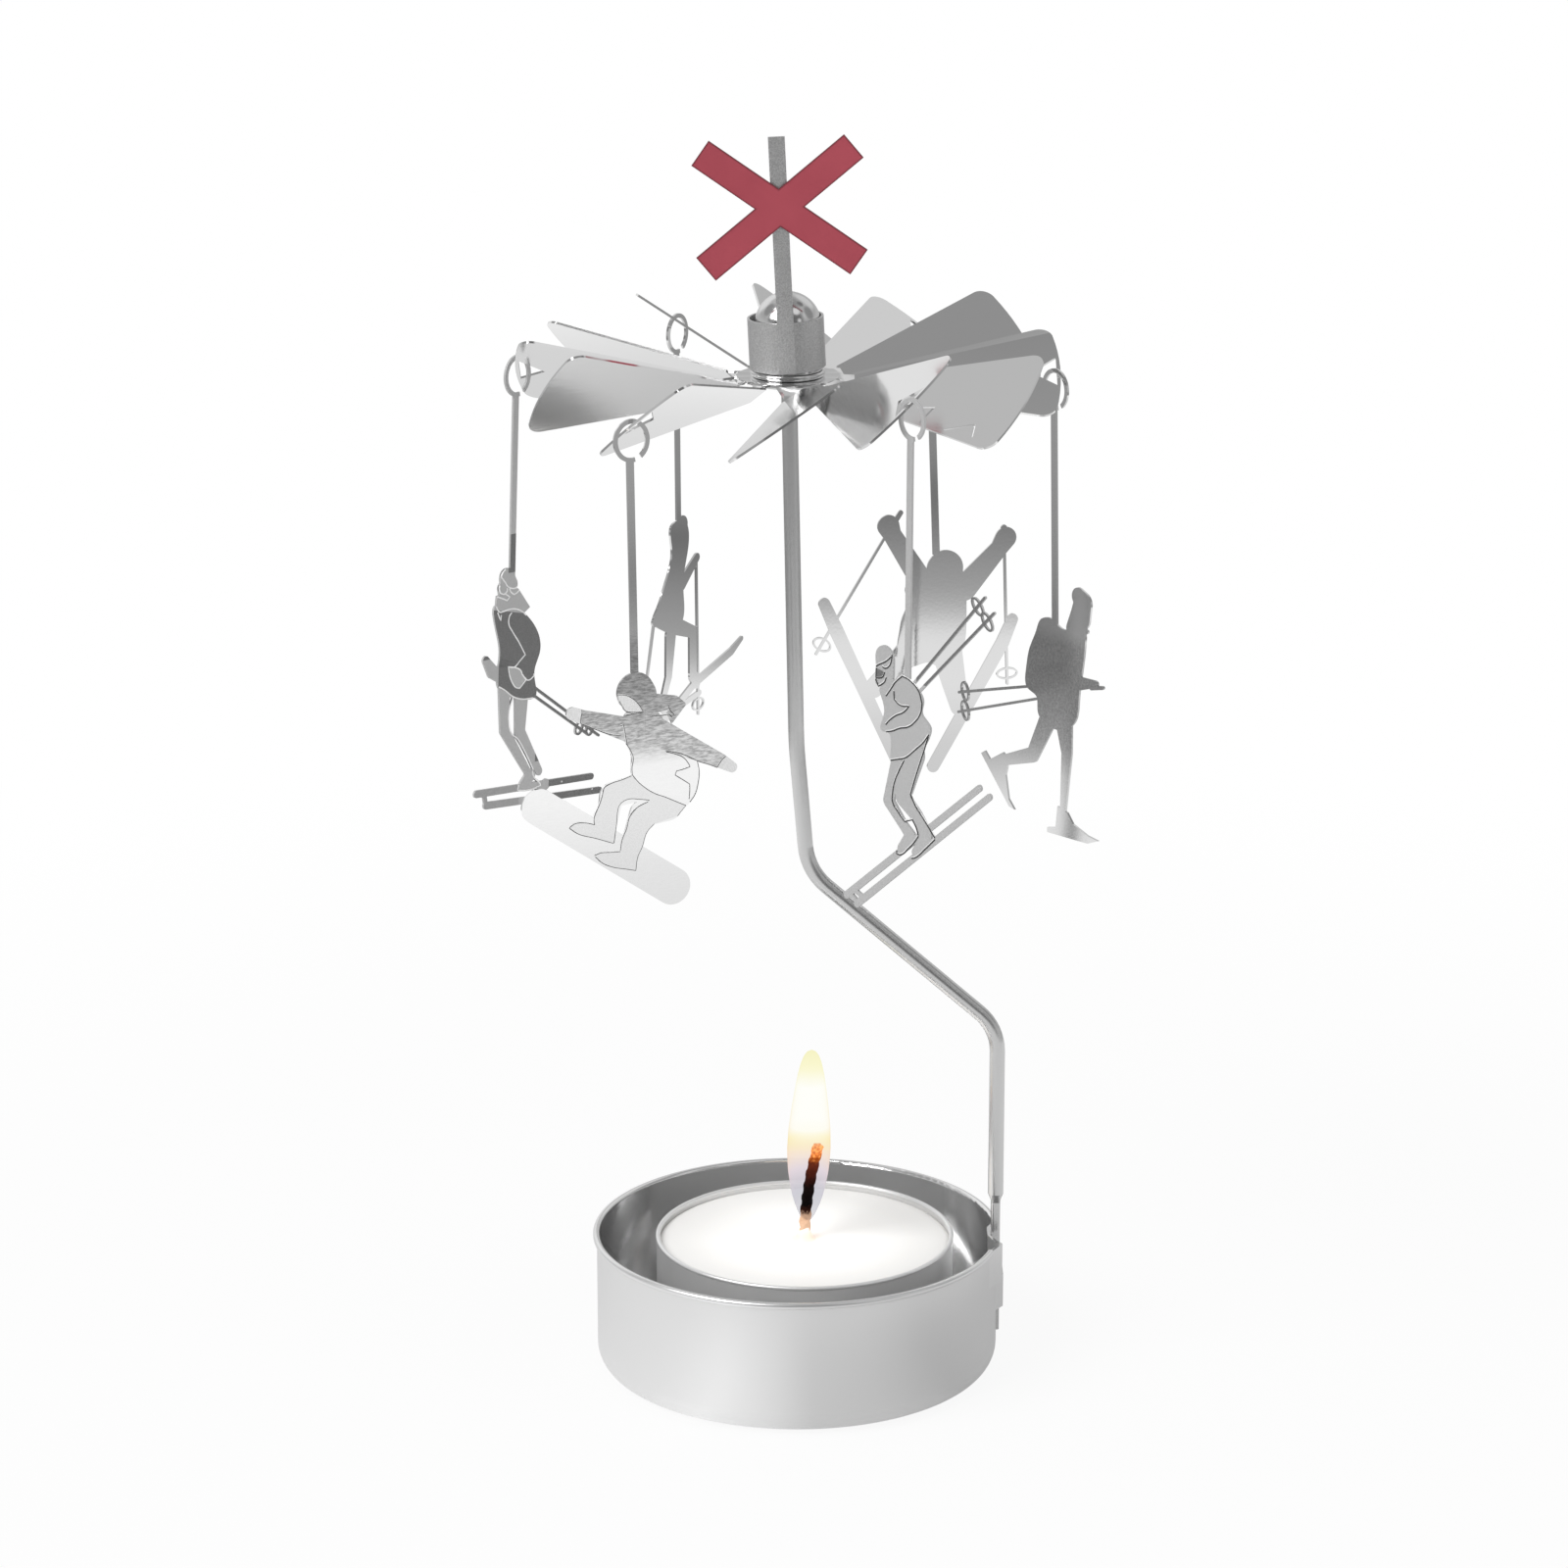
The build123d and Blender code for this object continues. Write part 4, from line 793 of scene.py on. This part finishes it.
paintedHighlightTin = makePaintedHighlight()
# The ridges' pale lines are painted highlight and their dark feet painted shade
ridgeTree = makeLineTree("etchedRidges", paintedHighlightTin, darkEtchedTinAndShade)
# The grooves' dark lines are partly the etched tone and partly painted shade, and their pale edges
# painted highlight
grooveTree = makeLineTree("etchedGrooves", makeMattMetal("grooveTinAndShade", matt["groove"]), paintedHighlightTin)
skierSheet = makeSheet("standing_skier")
boarderSheet = makeSheet("snowboarder")
racerSheet = makeSheet("downhill_racer")
makeLines("skierDrawing", skierSheet, skierLines, ridge, ridgeTree)
makeLines("snowboarderDrawing", boarderSheet, snowboarderLines, fineGroove, grooveTree)
makeLines("racerDrawing", racerSheet, racerLines, deepGroove, grooveTree)

makeZone("skierJacket", skierSheet,
         (((2.6, -5.4), (-3.6, -4.1)), ((-2.45, -3.0), (-2.45, -18.0)), ((-3.0, -13.8), (0.3, -15.8)),
          ((0.3, -15.8), (4.7, -17.0))), darkEtchedTinAndShade)
makeZone("skierShoulder", skierSheet,
         (((2.6, -5.4), (-3.6, -4.1)), ((-2.45, -18.0), (-2.45, -3.0)), ((-6.0, -10.3), (0.0, -10.3))),
         darkEtchedTinAndShade)
makeZone("skierPoles", skierSheet,
         (((4.7, -11.0), (4.7, -25.0)), ((0.0, -25.0), (10.0, -25.0)), ((4.7, -17.0), (0.3, -15.8))),
         darkEtchedTinAndShade)
makeZone("skierSkisLeft", skierSheet,
         (((1.8, -26.9), (-9.0, -26.9)), ((1.8, -32.0), (1.8, -25.0))), skiTin)
makeZone("skierSkisRight", skierSheet,
         (((12.0, -26.9), (1.5, -26.9)), ((7.4, -25.0), (7.4, -32.0))), darkEtchedTinAndShade)
makeZone("skierRodFoot", skierSheet,
         (((-1.0, 8.0), (-1.0, -8.0)), ((-5.0, 0.3), (5.0, 0.3)), ((5.0, 5.2), (-5.0, 5.2))),
         darkEtchedTinAndShade)
makePatch("skierGlove", skierSheet, skierLines["glove"][:-1], etchedTin)

makeZone("boarderLeftGlove", boarderSheet,
         (((-7.4, -8.0), (-7.4, 0.0)), ((-20.0, -8.0), (0.0, -8.0))), paleEtchedTin)
makeZone("boarderRightGlove", boarderSheet,
         (((11.8, -11.9), (10.4, -13.4)), ((0.0, -15.5), (20.0, -15.5))), paleEtchedTin)
makeZone("boarderSleeve", boarderSheet,
         (((2.0, -9.6), (10.4, -13.4)), ((10.4, -13.4), (11.8, -11.9)), ((1.0, 5.0), (1.0, -20.0)),
          ((10.0, 5.0), (-10.0, 5.0))), makeMattMetal("brushedSleeveTin", matt["sleeve"]))
makePatch("boarderGoggles", boarderSheet, snowboarderLines["goggles"], paleEtchedTin)
strokes = snowboarderLines
leftLeg = (strokes["thigh"][:-1] + strokes["bootTop"][::-1] + strokes["boot"][1:]
           + strokes["innerLeg"][-2::-1] + strokes["hem"][3:0:-1])
rightLeg = (strokes["calf"] + strokes["backBootTop"][::-1] + strokes["backBoot"][1:]
            + strokes["shin"][-2::-1] + strokes["seat"][::-1] + strokes["hem"][-2:2:-1])
makePatch("boarderLeftLeg", boarderSheet, leftLeg, trouserTin)
makePatch("boarderRightLeg", boarderSheet, rightLeg, trouserTin)

makeZone("racerPoles", racerSheet,
         (((1.5, 20.0), (1.5, -5.0)), ((0.0, -0.4), (10.0, -0.4)), ((10.0, 20.0), (-10.0, 20.0))),
         darkEtchedTinAndShade)
makePatch("racerGoggles", racerSheet, racerLines["goggles"], darkEtchedTinAndShade)
print("figures are etched")


# Stage: a pale table, a soft room and the camera

stage = {
    "tableRadius": 0.8, "tableSides": 96, "tableDropMm": 0.05, "tableColour": "#E6E6E6",
    # The table fades to white between these distances, from the share that shows in the middle
    "whiteFrom": 0.10, "whiteTo": 0.30, "seenShare": 0.9,
    "cameraPlaceMm": (-1.67, -657.2, 272.55), "cameraPitchDeg": 16.46, "clipStart": 0.01,
    "focalPixels": 5510, "picturePixels": 1600, "sensorWidth": 36.0,
    "lampAim": (0, 0, 0.08),
}
lamps = {
    "keyLight": {"size": (0.9, 0.9), "place": (-0.9, -0.7, 1.1), "watts": 14, "mirrored": True},
    "fillLight": {"size": (0.8, 1.0), "place": (1.1, -0.5, 0.7), "watts": 4, "mirrored": False},
}
# Painted light and shade that only mirrors see: how bright the table mirrors in metal, by its
# distance from the middle, and close to the cup by its direction, as the soft boxes would light it
# unevenly. Directions are degrees from +X towards +Y.
paintedTableLight = {
    "reach": 0.7,
    "paintedLightCentre": (0.045, -0.030, 0.0),
    "byDistance": ((0.0, 0.72), (0.15, 0.76), (0.20, 0.82), (0.24, 0.98), (0.278, 0.98), (0.285, 0.85),
                   (0.300, 0.56), (0.315, 0.44), (0.345, 0.35), (0.370, 0.26), (0.395, 0.20),
                   (0.44, 0.32), (0.60, 0.36)),
    "nearStart": 0.051,
    "nearEnd": 0.085,
    "byDirection": ((0, 0.46), (30, 0.46), (60, 0.60), (95, 0.78), (140, 0.68), (180, 0.78), (215, 0.84),
                    (240, 0.98), (262, 0.78), (275, 0.60), (300, 0.55), (330, 0.42), (360, 0.46)),
}


def makeTable():
    # White where the camera looks past the cup, matt beneath it, and with painted light and shade that
    # only mirrors see
    mesh = bpy.data.meshes.new("table")
    table = bpy.data.objects.new("table", mesh)
    bpy.context.scene.collection.objects.link(table)
    form = bmesh.new()
    bmesh.ops.create_circle(form, cap_ends=True, segments=stage["tableSides"],
                            radius=stage["tableRadius"])
    form.to_mesh(mesh)
    form.free()
    table.location.z = -stage["tableDropMm"] * mm
    material, tree, place = startMaterial("paleTable")
    distance = addNode(tree, "ShaderNodeVectorMath", {0: place}, operation="LENGTH").outputs["Value"]
    whiter = addNode(tree, "ShaderNodeMapRange",
                     {"Value": distance, "From Min": stage["whiteFrom"], "From Max": stage["whiteTo"],
                      "To Min": stage["seenShare"]}, interpolation_type="SMOOTHSTEP")
    path = addNode(tree, "ShaderNodeLightPath")
    diffuse = addNode(tree, "ShaderNodeBsdfDiffuse", {"Color": linear(stage["tableColour"])})
    white = addNode(tree, "ShaderNodeEmission", {"Color": (1, 1, 1, 1)})
    seen = addNode(tree, "ShaderNodeMixShader", {0: whiter, 1: diffuse, 2: white})

    # Painted light for mirrors: bright rings round a centre, and uneven light and shade close to the cup
    fromPaintedLight = addNode(tree, "ShaderNodeVectorMath", {0: place, 1: paintedTableLight["paintedLightCentre"]},
                       operation="DISTANCE")
    share = addNode(tree, "ShaderNodeMath", {0: fromPaintedLight.outputs["Value"], 1: paintedTableLight["reach"]},
                    operation="DIVIDE")
    far = addNode(tree, "ShaderNodeValToRGB", {"Fac": share},
                  stops=[(radius / paintedTableLight["reach"], tone) for radius, tone in paintedTableLight["byDistance"]])
    compass = addNode(tree, "ShaderNodeTexGradient", {"Vector": place}, gradient_type="RADIAL")
    turned = addNode(tree, "ShaderNodeMath", {0: compass.outputs["Fac"], 1: 0.5}, operation="ADD")
    wrapped = addNode(tree, "ShaderNodeMath", {0: turned}, operation="FRACT")
    near = addNode(tree, "ShaderNodeValToRGB", {"Fac": wrapped},
                   stops=[(degrees / 360, tone) for degrees, tone in paintedTableLight["byDirection"]])
    nearness = addNode(tree, "ShaderNodeMapRange",
                       {"Value": distance, "From Min": paintedTableLight["nearStart"],
                        "From Max": paintedTableLight["nearEnd"]}, interpolation_type="SMOOTHSTEP")
    tone = addNode(tree, "ShaderNodeMix", {0: nearness, 6: near, 7: far}, data_type="RGBA")
    mirrored = addNode(tree, "ShaderNodeEmission", {"Color": tone.outputs[2]})

    plain = addNode(tree, "ShaderNodeMixShader", {0: path.outputs["Is Camera Ray"], 1: diffuse, 2: seen})
    whole = addNode(tree, "ShaderNodeMixShader",
                    {0: path.outputs["Is Glossy Ray"], 1: plain, 2: mirrored})
    dress(table, finishMaterial(material, whole))


roomTone = {
    "ambient": 0.6,
    # height of the direction, from straight down (-90) to straight up (90) degrees, and its tone
    "byHeight": ((-90, 0.9), (-5, 0.5), (5, 0.55), (15, 0.45), (30, 0.62), (50, 0.50), (65, 0.33),
                 (90, 0.27)),
    # Soft boxes and one dark screen that show only as reflections: direction from +X towards +Y,
    # height, half width and soft edge in degrees, and tone
    "cards": ((120, 26, 14, 14, 0.86), (99, -3, 10, 8, 0.72), (138, 56, 10, 12, 0.55),
              (56, 33, 12, 10, 0.70), (270, 20, 45, 20, 0.16), (315, 53, 8, 8, 0.8),
              (170, 37, 12, 10, 0.30), (8, 28, 12, 10, 0.28), (20, 57, 5, 6, 0.18),
              (202, 21, 7, 6, 0.25), (314, 21, 4, 4, 0.75)),
}


def makeRoom():
    # White to the camera, an even light on matt things, and soft boxes in mirrors
    world = bpy.data.worlds.new("room")
    bpy.context.scene.world = world
    world.use_nodes = True
    tree = world.node_tree
    tree.nodes.clear()
    place = addNode(tree, "ShaderNodeTexCoord")
    axes = addNode(tree, "ShaderNodeSeparateXYZ", {0: place.outputs["Generated"]})
    angle = addNode(tree, "ShaderNodeMath", {0: axes.outputs["Z"]}, operation="ARCSINE")
    height = addNode(tree, "ShaderNodeMapRange",
                     {"Value": angle, "From Min": -math.pi / 2, "From Max": math.pi / 2})
    shade = addNode(tree, "ShaderNodeValToRGB", {"Fac": height},
                    stops=[((degrees + 90) / 180, tone) for degrees, tone in roomTone["byHeight"]])
    tone = shade.outputs["Color"]
    for turn, rise, half, soft, cardTone in roomTone["cards"]:
        flat, turn = math.cos(math.radians(rise)), math.radians(turn)
        towards = (flat * math.cos(turn), flat * math.sin(turn), math.sin(math.radians(rise)))
        nearness = addNode(tree, "ShaderNodeVectorMath", {0: place.outputs["Generated"], 1: towards},
                           operation="DOT_PRODUCT")
        share = addNode(tree, "ShaderNodeMapRange",
                        {"Value": nearness.outputs["Value"],
                         "From Min": math.cos(math.radians(half + soft)),
                         "From Max": math.cos(math.radians(half))}, interpolation_type="SMOOTHSTEP")
        tone = addNode(tree, "ShaderNodeMix", {0: share, 6: tone, 7: (cardTone, cardTone, cardTone, 1.0)},
                       data_type="RGBA").outputs[2]
    path = addNode(tree, "ShaderNodeLightPath")
    mirrored = addNode(tree, "ShaderNodeBackground", {"Color": tone})
    ambient = addNode(tree, "ShaderNodeBackground",
                      {"Color": (1, 1, 1, 1), "Strength": roomTone["ambient"]})
    white = addNode(tree, "ShaderNodeBackground", {"Color": (1, 1, 1, 1)})
    glossy = addNode(tree, "ShaderNodeMixShader",
                     {0: path.outputs["Is Glossy Ray"], 1: ambient, 2: mirrored})
    whole = addNode(tree, "ShaderNodeMixShader", {0: path.outputs["Is Camera Ray"], 1: glossy, 2: white})
    addNode(tree, "ShaderNodeOutputWorld", {"Surface": whole})


def addLamp(name, spec):
    data = bpy.data.lights.new(name, "AREA")
    data.shape = "RECTANGLE"
    data.size, data.size_y = spec["size"]
    data.energy = spec["watts"]
    lamp = bpy.data.objects.new(name, data)
    lamp.location = spec["place"]
    towards = Vector(stage["lampAim"]) - Vector(spec["place"])
    lamp.rotation_euler = towards.to_track_quat("-Z", "Y").to_euler()
    lamp.visible_glossy = spec["mirrored"]
    bpy.context.scene.collection.objects.link(lamp)


def makeCamera():
    data = bpy.data.cameras.new("camera")
    data.sensor_width = stage["sensorWidth"]
    data.lens = stage["focalPixels"] / stage["picturePixels"] * stage["sensorWidth"]
    data.clip_start = stage["clipStart"]
    camera = bpy.data.objects.new("camera", data)
    camera.location = Vector(stage["cameraPlaceMm"]) * mm
    camera.rotation_euler = (math.radians(90 - stage["cameraPitchDeg"]), 0, 0)
    bpy.context.scene.collection.objects.link(camera)
    bpy.context.scene.camera = camera


makeTable()
makeRoom()
for name, spec in lamps.items():
    addLamp(name, spec)
makeCamera()
bpy.context.scene.view_settings.view_transform = "Standard"
print("stage is set")
